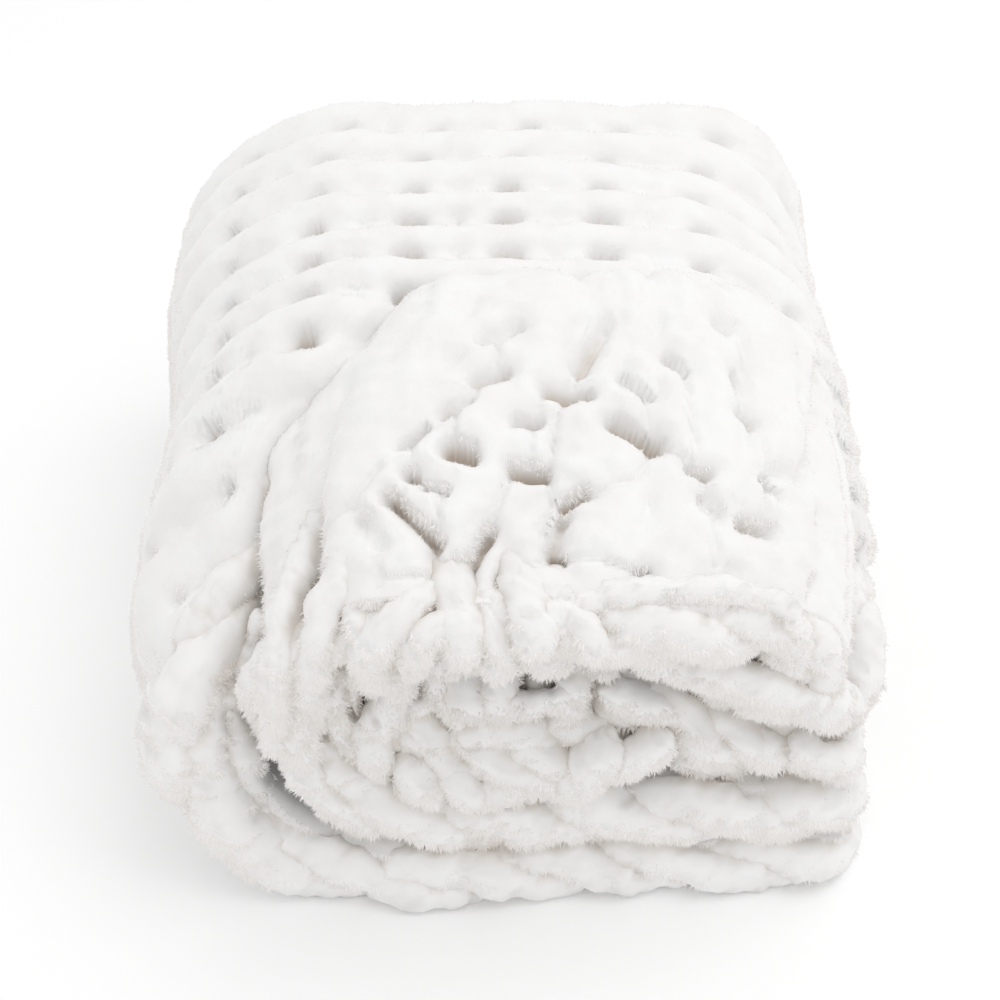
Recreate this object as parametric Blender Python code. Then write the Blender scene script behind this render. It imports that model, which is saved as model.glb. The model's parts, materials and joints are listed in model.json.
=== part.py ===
"""Chunky knit blanket, folded in half and rolled up as a flat, soft bundle.

The cloth is one piece. It is folded once, so that it lies in two plies with the
fold at the back (+Y) and its two long edges at the front (-Y). The doubled cloth
is then rolled: from its outer end under the bundle, up the left side, over the
top, down the right side, and back inside as one S-shaped fold.

Everything follows from two things:
  the centre line, halfway between the two plies, in the X-Z plane (ROLL), and
  a profile in depth, which says how far each ply is off that line (FRONT).
"""

import math
from collections import namedtuple

import bmesh
import bpy

MM = 0.001

# ---- driving sizes, in metres -------------------------------------------------
PLY = 30 * MM  # thickness of the knitted cloth
PLY_GAP = 4 * MM  # air between the two plies at the back fold
DEPTH = 440 * MM  # front plane to the outside of the back fold
WIDE = 400 * MM  # over the two sides of the bundle

PITCH = PLY + PLY_GAP  # from the middle of one ply to the middle of the other
FOLD_OUT = PITCH / 2 + PLY / 2  # outside of the doubled cloth, from its centre line
FRONT_Y = -DEPTH / 2
FOLD_Y = DEPTH / 2 - FOLD_OUT  # where the back fold starts to turn

# ---- the roll: straight runs, each followed by a turn -------------------------
# The line starts at the outer end, under the right side, and heads left.
# run and radius are in millimetres. turn is in degrees, and a negative one is
# clockwise seen from the front.
START = (WIDE / 2 - 16 * MM, FOLD_OUT)
Bend = namedtuple("Bend", "place run turn radius")
ROLL = (
    Bend("under the bundle, then left side", 264, -90, 100),
    Bend("left shoulder", 0, -85, 100),
    Bend("top", 18, -10, 900),
    Bend("right shoulder", 0, -85, 90),
    Bend("right side, then fold inside", 2, -115, 34),
    Bend("rising back inside", 117, 25, 100),
    Bend("inner fold", 0, 180, 33),
    Bend("inner end", 88, 0, 0),
)

# ---- the front of the bundle ---------------------------------------------------
# at       place along the centre line, as a share of its length
# edge_a   how far the outer ply's front edge stands back from the front plane
# edge_b   the same for the inner ply
# open_a   how far the outer ply stands out near the front, or in if negative
# open_b   how far the inner ply is drawn in near the front
# rise     how far the inner ply swells up where the outer ply leaves it bare
# droop    how far its front edge then hangs down
# back     how far both plies stand out near the back fold
# All but the first are in millimetres.
Front = namedtuple("Front", "at edge_a edge_b open_a open_b rise droop back")
FRONT = (
    Front(0.000, -14, -8, 0, 0, 0, 0, 0),
    Front(0.100, -18, -10, 0, 0, 0, 0, 0),
    Front(0.190, -30, -12, 0, 6, 0, 0, 0),
    Front(0.230, -18, -6, -4, 30, 0, 0, 6),
    Front(0.280, -2, -2, -16, 42, 0, 0, 16),
    Front(0.320, 14, -2, -32, 46, 0, 0, 20),
    Front(0.360, 56, -6, -44, 46, 4, 0, 20),
    Front(0.410, 124, -10, -30, 30, 14, 4, 10),
    Front(0.460, 178, -16, -8, 8, 26, 14, 0),
    Front(0.530, 186, -20, 0, 0, 30, 26, 0),
    Front(0.580, 198, -14, 0, 0, 30, 30, -4),
    Front(0.620, 206, 0, 0, 0, 28, 22, -8),
    Front(0.650, 160, 8, 0, 0, 22, 8, -6),
    Front(0.675, 70, 6, 0, 0, 8, 0, 0),
    Front(0.700, 16, 2, 0, 0, 0, 0, 0),
    Front(0.725, 0, -2, 0, 0, 0, 0, 0),
    Front(0.760, 10, 18, 0, 0, 0, 0, 0),
    Front(0.800, 24, 46, 0, 0, 0, 0, 0),
    Front(0.850, 24, 40, 0, 0, 0, 0, 0),
    Front(0.865, 20, 30, 0, 0, 0, 0, 0),
    Front(0.890, 12, 14, 0, 0, 0, 0, -14),
    Front(0.915, 6, 4, 0, 0, 0, 0, 0),
    Front(0.940, 0, -6, 0, 0, 0, 0, 0),
    Front(1.000, 0, -6, 0, 0, 0, 0, 0),
)
OPENING = 190 * MM  # the inner ply is drawn in over this length
CURL = 62 * MM  # the outer ply curls in or out over this length
SWELL = 24 * MM  # the inner ply swells up over this length before the outer edge
LEAST_BARE = 30 * MM  # the shortest length over which it can swell and hang
HANG = 3.4  # how sharply the bare part turns down: 1 is a straight slope
BACK_SPREAD = 40 * MM  # how far in front of the middle the back spread starts

# The outer ply stops this share of the centre line short of the inner end,
# because it would meet the run above it.
SHORT_A = 0.053

# ---- facets ---------------------------------------------------------------------
RUN_STEP = 38 * MM  # between sections on a straight run
TURN_STEP = 19.0  # degrees between sections in a turn
A_STATIONS = (0.0, 0.05, 0.11, 0.18, 0.3, 0.5, 0.75, 1.0)  # front edge to back fold
B_COVERED = (1.0, 0.66, 0.36, 0.14)  # back fold to the outer ply's edge
B_BARE = (1.0, 0.84, 0.66, 0.46, 0.26, 0.10, 0.0)  # outer ply's edge to its own
FOLD_FACETS = 7  # round the outside of the back fold
EDGE_ROUND = 7 * MM  # how far the rounded front edges stand out
EDGE_ARC = ((-0.28, 0.75), (0.0, 1.0), (0.28, 0.75))  # across, and share of that
EDGE_SOFT = 34 * MM  # a ply thins towards its front edge over this length
EDGE_THIN = 0.8  # the thickness there, as a share of PLY
END_SOFT = 9 * MM  # and the same at the two ends of the roll

CLOTH_COLOUR = (0.86, 0.85, 0.83, 1.0)
CLOTH_ROUGHNESS = 0.95

# The closed outline of the cloth in depth is made of these runs of points.
A_POINTS = len(A_STATIONS)
B_POINTS = len(B_COVERED) + len(B_BARE)
OUTLINE_RUNS = (
    ("a_out", A_POINTS),  # outer skin of the outer ply, front to back
    ("fold", FOLD_FACETS - 1),  # round the outside of the back fold
    ("b_in", B_POINTS),  # inner skin of the inner ply, back to front
    ("b_edge", len(EDGE_ARC)),  # round its front edge
    ("b_out", B_POINTS),  # its outer skin, front to back
    ("crease", 1),  # the inside of the back fold
    ("a_in", A_POINTS),  # inner skin of the outer ply, back to front
    ("a_edge", len(EDGE_ARC)),  # round its front edge
)


def smooth(x):
    """0 below 0, 1 above 1, and an even S between."""
    x = min(1.0, max(0.0, x))
    return x * x * (3 - 2 * x)


def roll_sections():
    """[(length so far, x, z, heading)] along the centre line."""
    x, z = START
    heading, length = math.pi, 0.0
    found = [(length, x, z, heading)]
    for bend in ROLL:
        run, radius, turn = bend.run * MM, bend.radius * MM, math.radians(bend.turn)
        steps = math.ceil(run / RUN_STEP)
        for _ in range(steps):
            x += math.cos(heading) * run / steps
            z += math.sin(heading) * run / steps
            length += run / steps
            found.append((length, x, z, heading))
        arc = abs(turn) * radius
        steps = max(math.ceil(abs(bend.turn) / TURN_STEP), math.ceil(arc / RUN_STEP))
        for _ in range(steps):
            part = turn / steps
            chord = 2 * radius * math.sin(abs(part) / 2)
            x += math.cos(heading + part / 2) * chord
            z += math.sin(heading + part / 2) * chord
            heading += part
            length += arc / steps
            found.append((length, x, z, heading))
    return found


def front_at(share):
    """The FRONT columns at a share of the centre line, in metres."""
    for low, high in zip(FRONT, FRONT[1:]):
        if share <= high.at:
            break
    mix = smooth((share - low.at) / (high.at - low.at))
    return Front(share, *((a + (b - a) * mix) * MM for a, b in zip(low[1:], high[1:])))


def near_front(y, front, length):
    """0 behind a length of cloth that ends at front, rising to 1 at its end."""
    return smooth(1 - (y - front) / length)


def ply_a_middle(front):
    """(y, offset) points down the middle of the outer ply, front to back."""
    edge = FRONT_Y + front.edge_a
    points = []
    for share in A_STATIONS:
        y = edge + (FOLD_Y - edge) * share
        curl = front.open_a * near_front(y, edge, CURL)
        room = front.open_b * near_front(y, FRONT_Y, OPENING)
        points.append((y, PITCH / 2 + max(curl, -room)))
    return points


def ply_b_middle(front):
    """(y, offset) points down the middle of the inner ply, front to back."""
    edge = FRONT_Y + front.edge_b
    bare_from = max(FRONT_Y + front.edge_a, edge + LEAST_BARE)
    depths = [edge + (bare_from - edge) * share for share in B_BARE[::-1]]
    depths += [bare_from + (FOLD_Y - bare_from) * share for share in B_COVERED[::-1]]
    points = []
    for y in depths:
        drawn = front.open_b * near_front(y, FRONT_Y, OPENING)
        swell = front.rise * smooth((bare_from - y) / SWELL)
        bare = max(0.0, (bare_from - y) / (bare_from - edge))
        hang = (front.rise + front.droop) * bare**HANG
        points.append((y, swell - hang - drawn - PITCH / 2))
    return points


def skins(middle, end_share):
    """The two skins of a ply, either side of its middle line, front to back."""
    edge = middle[0][0]
    above, below = [], []
    for i, (y, offset) in enumerate(middle):
        before, after = middle[max(i - 1, 0)], middle[min(i + 1, len(middle) - 1)]
        along = math.hypot(after[0] - before[0], after[1] - before[1])
        thin = EDGE_THIN + (1 - EDGE_THIN) * smooth((y - edge) / EDGE_SOFT)
        half = PLY * thin * end_share / 2
        across_y = -(after[1] - before[1]) / along * half
        across_offset = (after[0] - before[0]) / along * half
        above.append((y + across_y, offset + across_offset))
        below.append((y - across_y, offset - across_offset))
    return above, below


def rounded_edge(start, end):
    """Points that round off a ply's front edge, from one skin to the other."""
    across_y, across_offset = end[0] - start[0], end[1] - start[1]
    thick = math.hypot(across_y, across_offset)
    out_y, out_offset = -across_offset / thick, across_y / thick
    if out_y > 0:
        out_y, out_offset = -out_y, -out_offset
    points = []
    for across, out in EDGE_ARC:
        y = (start[0] + end[0]) / 2 + across_y * across + out_y * EDGE_ROUND * out
        offset = (start[1] + end[1]) / 2 + across_offset * across
        points.append((y, offset + out_offset * EDGE_ROUND * out))
    return points


def outline(share, end_share):
    """The closed outline of the cloth in depth, as (y, offset) points."""
    front = front_at(share)
    a_out, a_in = skins(ply_a_middle(front), end_share)
    b_out, b_in = skins(ply_b_middle(front), end_share)
    fold_out = PITCH / 2 + PLY / 2 * end_share
    fold = []
    for k in range(1, FOLD_FACETS):
        turn = math.pi * k / FOLD_FACETS
        fold.append((FOLD_Y + fold_out * math.sin(turn), fold_out * math.cos(turn)))
    points = a_out + fold + b_in[::-1] + rounded_edge(b_in[0], b_out[0]) + b_out
    points += [(FOLD_Y + PLY_GAP / 2, 0.0)]
    points += a_in[::-1] + rounded_edge(a_in[0], a_out[0])
    return [
        (y, offset + front.back * smooth((y + BACK_SPREAD) / FOLD_Y))
        for y, offset in points
    ]


def outline_pull():
    """For each point of the outline, 1 on the outer ply and 0 on the inner one."""
    on_ply = {"a_out": 1.0, "a_in": 1.0, "a_edge": 1.0, "crease": 0.5}
    pull = []
    for name, count in OUTLINE_RUNS:
        if name == "fold":
            pull += [1 - (k + 1) / (count + 1) for k in range(count)]
        else:
            pull += [on_ply.get(name, 0.0)] * count
    return pull


def placed(sections, length, y, offset):
    """A point at this length along the centre line, this far off it, at depth y."""
    for low, high in zip(sections, sections[1:]):
        if length <= high[0]:
            break
    mix = (length - low[0]) / (high[0] - low[0])
    x, z, heading = (a + (b - a) * mix for a, b in zip(low[1:], high[1:]))
    above = z + math.cos(heading) * offset
    return (x - math.sin(heading) * offset, y, max(0.0, above))


def cloth_mesh():
    sections = roll_sections()
    whole = sections[-1][0]
    inner_end = whole - ROLL[-1].run * MM
    lengths = [section[0] for section in sections]
    lengths = [0.0, END_SOFT, *lengths[1:-1], whole - END_SOFT, whole]
    mesh = bmesh.new()
    rings = []
    for length in lengths:
        end_share = EDGE_THIN if length in (0.0, whole) else 1.0
        late = max(0.0, (length - inner_end) / (whole - inner_end))
        ring = []
        points = outline(length / whole, end_share)
        for (y, offset), pull in zip(points, outline_pull()):
            along = length - late * pull * SHORT_A * whole
            ring.append(mesh.verts.new(placed(sections, along, y, offset)))
        rings.append(ring)
    for ring, following in zip(rings, rings[1:]):
        for k, vert in enumerate(ring):
            after = (k + 1) % len(ring)
            mesh.faces.new((vert, ring[after], following[after], following[k]))
    for ring in (rings[0], rings[-1]):
        close_end(mesh, ring)
    bmesh.ops.recalc_face_normals(mesh, faces=mesh.faces)
    centre_on_footprint(mesh)
    return mesh


def close_end(mesh, ring):
    """Closes an end of the cloth, along both plies and round the back fold."""
    runs, start = {}, 0
    for name, count in OUTLINE_RUNS:
        runs[name] = ring[start : start + count]
        start += count
    for out, inside in (("a_out", "a_in"), ("b_in", "b_out")):
        strip(mesh, runs[out], runs[inside][::-1])
    mesh.faces.new([runs["a_in"][-1], *runs["a_edge"], runs["a_out"][0]])
    mesh.faces.new([runs["b_in"][-1], *runs["b_edge"], runs["b_out"][0]])
    outside = [runs["a_out"][-1], *runs["fold"], runs["b_in"][0]]
    a_hub, crease, b_hub = runs["a_in"][0], runs["crease"][0], runs["b_out"][-1]
    half = len(outside) // 2
    for k in range(len(outside) - 1):
        hub = a_hub if k < half - 1 else crease if k < half + 1 else b_hub
        mesh.faces.new([outside[k], outside[k + 1], hub])
    mesh.faces.new([outside[half - 1], crease, a_hub])
    mesh.faces.new([outside[half + 1], b_hub, crease])


def strip(mesh, one, other):
    for k in range(len(one) - 1):
        mesh.faces.new([one[k], one[k + 1], other[k + 1], other[k]])


def centre_on_footprint(mesh):
    """Moves the cloth so that the origin is under the middle of the bundle."""
    xs = [vert.co.x for vert in mesh.verts]
    ys = [vert.co.y for vert in mesh.verts]
    middle = (-(min(xs) + max(xs)) / 2, -(min(ys) + max(ys)) / 2, 0.0)
    bmesh.ops.translate(mesh, vec=middle, verts=mesh.verts)


def cloth_material():
    material = bpy.data.materials.new("white chenille")
    material.use_nodes = True
    shader = material.node_tree.nodes["Principled BSDF"]
    shader.inputs["Base Color"].default_value = CLOTH_COLOUR
    shader.inputs["Roughness"].default_value = CLOTH_ROUGHNESS
    shader.inputs["Metallic"].default_value = 0.0
    return material


def main():
    for old in list(bpy.data.objects):
        bpy.data.objects.remove(old)
    data = bpy.data.meshes.new("blanket")
    built = cloth_mesh()
    built.to_mesh(data)
    built.free()
    data.materials.append(cloth_material())
    blanket = bpy.data.objects.new("blanket", data)
    bpy.context.scene.collection.objects.link(blanket)


main()
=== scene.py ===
"""Chunky knit blanket, folded in half and rolled up: its yarn, pile and ground.

The cloth is one surface. Along it run two counts: stitches, from the outer end
of the roll to the inner one, and rows, from the outer ply's front edge over the
back fold to the inner ply's front edge. Row 0 is the middle of the back fold,
the outer ply has negative rows and the inner ply positive ones. The purl face
is outside on the outer ply, and the knit face shows where the inner ply is bare.
"""

import json
import math
from collections import namedtuple

import bpy
import numpy as np
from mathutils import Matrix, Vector
from mathutils.bvhtree import BVHTree

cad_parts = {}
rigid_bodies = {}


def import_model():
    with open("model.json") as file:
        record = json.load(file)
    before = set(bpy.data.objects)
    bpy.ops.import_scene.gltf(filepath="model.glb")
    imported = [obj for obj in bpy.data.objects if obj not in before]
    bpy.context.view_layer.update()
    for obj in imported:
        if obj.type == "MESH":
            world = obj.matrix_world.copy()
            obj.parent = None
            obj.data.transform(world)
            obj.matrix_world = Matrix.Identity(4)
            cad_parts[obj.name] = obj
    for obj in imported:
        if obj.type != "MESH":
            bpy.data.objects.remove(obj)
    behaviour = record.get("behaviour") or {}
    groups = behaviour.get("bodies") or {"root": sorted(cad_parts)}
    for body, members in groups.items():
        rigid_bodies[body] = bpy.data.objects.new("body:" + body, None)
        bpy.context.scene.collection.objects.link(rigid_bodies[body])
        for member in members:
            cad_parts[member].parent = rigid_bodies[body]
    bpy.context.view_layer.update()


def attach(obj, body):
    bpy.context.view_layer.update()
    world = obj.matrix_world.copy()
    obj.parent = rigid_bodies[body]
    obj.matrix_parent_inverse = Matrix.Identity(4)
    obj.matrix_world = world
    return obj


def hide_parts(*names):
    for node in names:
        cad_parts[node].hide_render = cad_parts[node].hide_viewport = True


bl_info = {
    "name": "Chunky Knit Blanket",
    "version": (1, 0, 0),
    "blender": (4, 5, 0),
    "location": "View3D > Sidebar > Blanket",
    "description": "Knits a folded and rolled blanket from thick chenille yarn",
    "category": "Object",
}

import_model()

MM = 0.001
BODY = "root"
NODE = "blanket"

# ---- the roll ------------------------------------------------------------------
PLY = 30 * MM
PLY_GAP = 4 * MM
PITCH = PLY + PLY_GAP
DEPTH = 440 * MM
FRONT_Y = -DEPTH / 2
FOLD_Y = DEPTH / 2 - PITCH / 2 - PLY / 2
START = (184 * MM, 32 * MM)  # x and z of the outer end, between the two plies
CENTRE = (15.87 * MM, 18.40 * MM)  # moves the bundle over the origin
# straight run in millimetres, turn in degrees, radius of the turn in millimetres
ROLL = (
    (264, -90, 100),
    (0, -85, 100),
    (18, -10, 900),
    (0, -85, 90),
    (2, -115, 34),
    (117, 25, 100),
    (0, 180, 33),
    (88, 0, 0),
)
INNER_RUN = ROLL[-1][0] * MM  # the last run, on which the outer ply falls behind
OUTER_SHORT = 0.053  # the share of the whole length that it falls behind by

# ---- the front of the bundle ---------------------------------------------------
# share of the roll's length, then in millimetres:
# how far back the front edges of the outer and the inner ply lie
# how far the outer ply's front curls out, and the inner ply's is drawn in
# how far the inner ply swells up where it is bare, and its edge hangs below that
# how far both plies stand out at the back
FRONT = np.array(
    [
        (0.000, -14, -8, 0, 0, 0, 0, 0),
        (0.100, -18, -10, 0, 0, 0, 0, 0),
        (0.190, -30, -12, 0, 6, 0, 0, 0),
        (0.230, -18, -6, -4, 30, 0, 0, 6),
        (0.280, -2, -2, -16, 42, 0, 0, 16),
        (0.320, 14, -2, -32, 46, 0, 0, 20),
        (0.360, 56, -6, -44, 46, 4, 0, 20),
        (0.410, 124, -10, -30, 30, 14, 4, 10),
        (0.460, 178, -16, -8, 8, 26, 14, 0),
        (0.530, 186, -20, 0, 0, 30, 26, 0),
        (0.580, 198, -14, 0, 0, 30, 30, -4),
        (0.620, 206, 0, 0, 0, 28, 22, -8),
        (0.650, 160, 8, 0, 0, 22, 8, -6),
        (0.675, 70, 6, 0, 0, 8, 0, 0),
        (0.700, 16, 2, 0, 0, 0, 0, 0),
        (0.725, 0, -2, 0, 0, 0, 0, 0),
        (0.760, 10, 18, 0, 0, 0, 0, 0),
        (0.800, 24, 46, 0, 0, 0, 0, 0),
        (0.850, 24, 40, 0, 0, 0, 0, 0),
        (0.865, 20, 30, 0, 0, 0, 0, 0),
        (0.890, 12, 14, 0, 0, 0, 0, -14),
        (0.915, 6, 4, 0, 0, 0, 0, 0),
        (0.940, 0, -6, 0, 0, 0, 0, 0),
        (1.000, 0, -6, 0, 0, 0, 0, 0),
    ]
)
OPENING = 190 * MM  # how far behind the front line the plies start to part
CURL = 62 * MM  # how far behind its edge the outer ply starts to curl
SWELL = 24 * MM  # in how short a way the inner ply swells up
LEAST_BARE = 30 * MM  # how much of it is bare at the least
HANG = 3.4  # how late and how sharply its edge turns down
BACK_SPREAD = 40 * MM  # how far before the middle the back starts to stand out
TUCK_FROM = 40 * MM  # the outer ply's edge is tucked down where it is further back
TUCK = 12 * MM  # how far down
TUCK_LENGTH = 34 * MM
SWELL_UNDER = 15 * MM  # how far under the outer ply the inner one starts to swell

# ---- the knit ------------------------------------------------------------------
YARN_LOWEST = 0.5 * MM  # clear of the surface that it all lies on
GROUND_LOWEST = 1 * MM
PILE_LOWEST = 0.2 * MM
STITCHES = 23  # from the outer end of the roll to the inner one
EDGE_ROW = 11.6  # rows from the back fold to either front edge
ROW_PITCH = 37.5 * MM
ROW_STEP = 10  # places in a row, and in a stitch, at which the cloth is worked out
STITCH_STEP = 20
ROWS_GRID = np.arange(-126, 127) / ROW_STEP
STITCH_GRID = np.arange(-STITCH_STEP, (STITCHES + 1) * STITCH_STEP + 1) / STITCH_STEP
LINE_STEP = 1 * MM
PLAIN_ROWS = 5  # rows from the fold that keep the plain pitch
MOST_BARE = 24 * MM  # where the edge lies further back, the outer ply's rows end sooner
FOLD_EVEN = 18  # how far the stitches of one row follow those of the next
INNER_END = 0.8  # rows into the inner ply where the outer one stops falling short


# ---- helpers -------------------------------------------------------------------
def smooth(x):
    x = np.clip(x, 0.0, 1.0)
    return x * x * (3 - 2 * x)


def blur(values, sigma, axis):
    """Evens out an array along one axis, holding its ends."""
    reach = int(3 * sigma) + 1
    weights = np.exp(-0.5 * (np.arange(-reach, reach + 1) / sigma) ** 2)
    weights /= weights.sum()
    moved = np.moveaxis(values, axis, 0)
    first, last = moved[:1], moved[-1:]
    head = 2 * first - moved[1 : reach + 1][::-1]
    tail = 2 * last - moved[-reach - 1 : -1][::-1]
    padded = np.concatenate([head, moved, tail])
    out = sum(w * padded[k : k + len(moved)] for k, w in enumerate(weights))
    return np.moveaxis(out, 0, axis)


def after(value, first, rise):
    """0 before the first, and 1 from a rise past it."""
    return smooth((value - first) / rise)


def before(value, last, fall):
    """1 until a fall short of the last, and 0 past it."""
    return smooth((last - value) / fall)


def between(value, first, last, rise, fall):
    """0 outside first and last, and 1 inside them but for a rise and a fall."""
    return after(value, first, rise) * before(value, last, fall)


def around(value, middle, reach, full=1.0):
    """From 1 in the middle down to 0; full above 1 makes the top broad."""
    return smooth(full - np.abs(value - middle) / reach)


def unit(vectors):
    return vectors / np.linalg.norm(vectors, axis=-1)[..., None]


def mix(grid, i, k, u, v):
    """Looks up a grid between its places (i, k) and the next, at shares u and v."""
    near = grid[i, k] * (1 - u) + grid[i + 1, k] * u
    far = grid[i, k + 1] * (1 - u) + grid[i + 1, k + 1] * u
    return near * (1 - v) + far * v


def from_zero(steps):
    """What steps add up to along the first axis, starting with 0."""
    return np.concatenate([np.zeros_like(steps[:1]), np.cumsum(steps, 0)])


def lengths_along(points):
    """How far along the first axis each of the points lies."""
    return from_zero(np.linalg.norm(points[1:] - points[:-1], axis=-1))


def waves(points, size, seed, octaves=3):
    """Smooth uneven values from about -1 to 1 at points in space."""
    rng = np.random.default_rng(seed)
    total, weight = 0.0, 0.0
    for octave in range(octaves):
        for _ in range(4):
            way = rng.normal(size=points.shape[-1])
            way *= 2 * math.pi / size * 1.9**octave / np.linalg.norm(way)
            total = total + np.sin(points @ way + rng.uniform(0, 6.28)) * 0.6**octave
        weight += 2.2 * 0.6**octave
    return total / weight


def vertex_normals(verts, faces):
    data = bpy.data.meshes.new("normals")
    data.from_pydata(verts, [], faces)
    normals = np.zeros(len(verts) * 3)
    data.vertex_normals.foreach_get("vector", normals)
    bpy.data.meshes.remove(data)
    return normals.reshape(-1, 3)


# ---- the cloth -----------------------------------------------------------------
def centre_line():
    """Lengths, x, z and heading along the line between the two plies."""
    lengths, headings = [0.0], [math.pi]
    for run, turn, radius in ROLL:
        lengths.append(lengths[-1] + run * MM)
        headings.append(headings[-1])
        lengths.append(lengths[-1] + abs(math.radians(turn)) * radius * MM)
        headings.append(headings[-1] + math.radians(turn))
    whole = lengths[-1]
    at = np.linspace(0.0, whole, int(whole / LINE_STEP) + 1)
    heading = np.interp(at, lengths, headings)
    pace = at[1] - at[0]
    middle = (heading[1:] + heading[:-1]) / 2
    x = START[0] + from_zero(np.cos(middle)) * pace
    z = START[1] + from_zero(np.sin(middle)) * pace
    return at, x + CENTRE[0], z, heading


def front_at(share):
    """The FRONT columns at a share of the line, in metres."""
    low = int(np.clip(np.searchsorted(FRONT[:, 0], share) - 1, 0, len(FRONT) - 2))
    one, two = FRONT[low], FRONT[low + 1]
    mix = smooth((share - one[0]) / (two[0] - one[0]))
    return (one[1:] + (two[1:] - one[1:]) * mix) * MM


def near_front(y, front, length):
    return smooth(1 - (y - front) / length)


def ply_profiles(share, count=120):
    """(y, offset) down the middle of each ply, from the back fold to its edge."""
    outer_back, inner_back, curled, drawn_in, rise, droop, back = front_at(share)
    front = FRONT_Y + outer_back
    y = np.linspace(FOLD_Y, front, count)
    curl = curled * near_front(y, front, CURL)
    room = drawn_in * near_front(y, FRONT_Y, OPENING)
    over_bare = after(outer_back, TUCK_FROM, TUCK_FROM)
    tucked = TUCK * over_bare * near_front(y, front, TUCK_LENGTH)
    outer = np.stack([y, PITCH / 2 + np.maximum(curl, -room) - tucked], 1)
    edge = FRONT_Y + inner_back
    bare_from = max(front, edge + LEAST_BARE)
    y = np.linspace(FOLD_Y, edge, count)
    drawn = drawn_in * near_front(y, FRONT_Y, OPENING)
    swell = rise * smooth((bare_from + SWELL_UNDER * over_bare - y) / SWELL)
    bare = np.clip((bare_from - y) / (bare_from - edge), 0.0, 1.0)
    hang = (rise + droop) * bare**HANG
    inner = np.stack([y, swell - hang - drawn - PITCH / 2], 1)
    return outer, inner, back


def cloth_section(share):
    """The middle of the cloth in depth, from the outer ply's edge to the inner's.

    Gives the points as (y, offset), and their distance from the middle of the
    back fold, negative on the outer ply."""
    outer, inner, back = ply_profiles(share)
    turn = np.radians(np.linspace(80, -80, 9))
    fold = np.stack([FOLD_Y + PITCH / 2 * np.cos(turn), PITCH / 2 * np.sin(turn)], 1)
    points = np.concatenate([outer[::-1], fold, inner])
    points[:, 1] += back * smooth((points[:, 0] + BACK_SPREAD) / FOLD_Y)
    at = lengths_along(points)
    at -= at[len(outer) + len(fold) // 2]
    return points, at


def row_distance(rows, edge):
    """Distance from the back fold at which rows lie, when the edge is that far."""
    plain = np.abs(rows) * ROW_PITCH
    spare = edge - EDGE_ROW * ROW_PITCH
    beyond = (np.abs(rows) - PLAIN_ROWS) / (EDGE_ROW - PLAIN_ROWS)
    return plain + spare * smooth(beyond)


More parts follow.
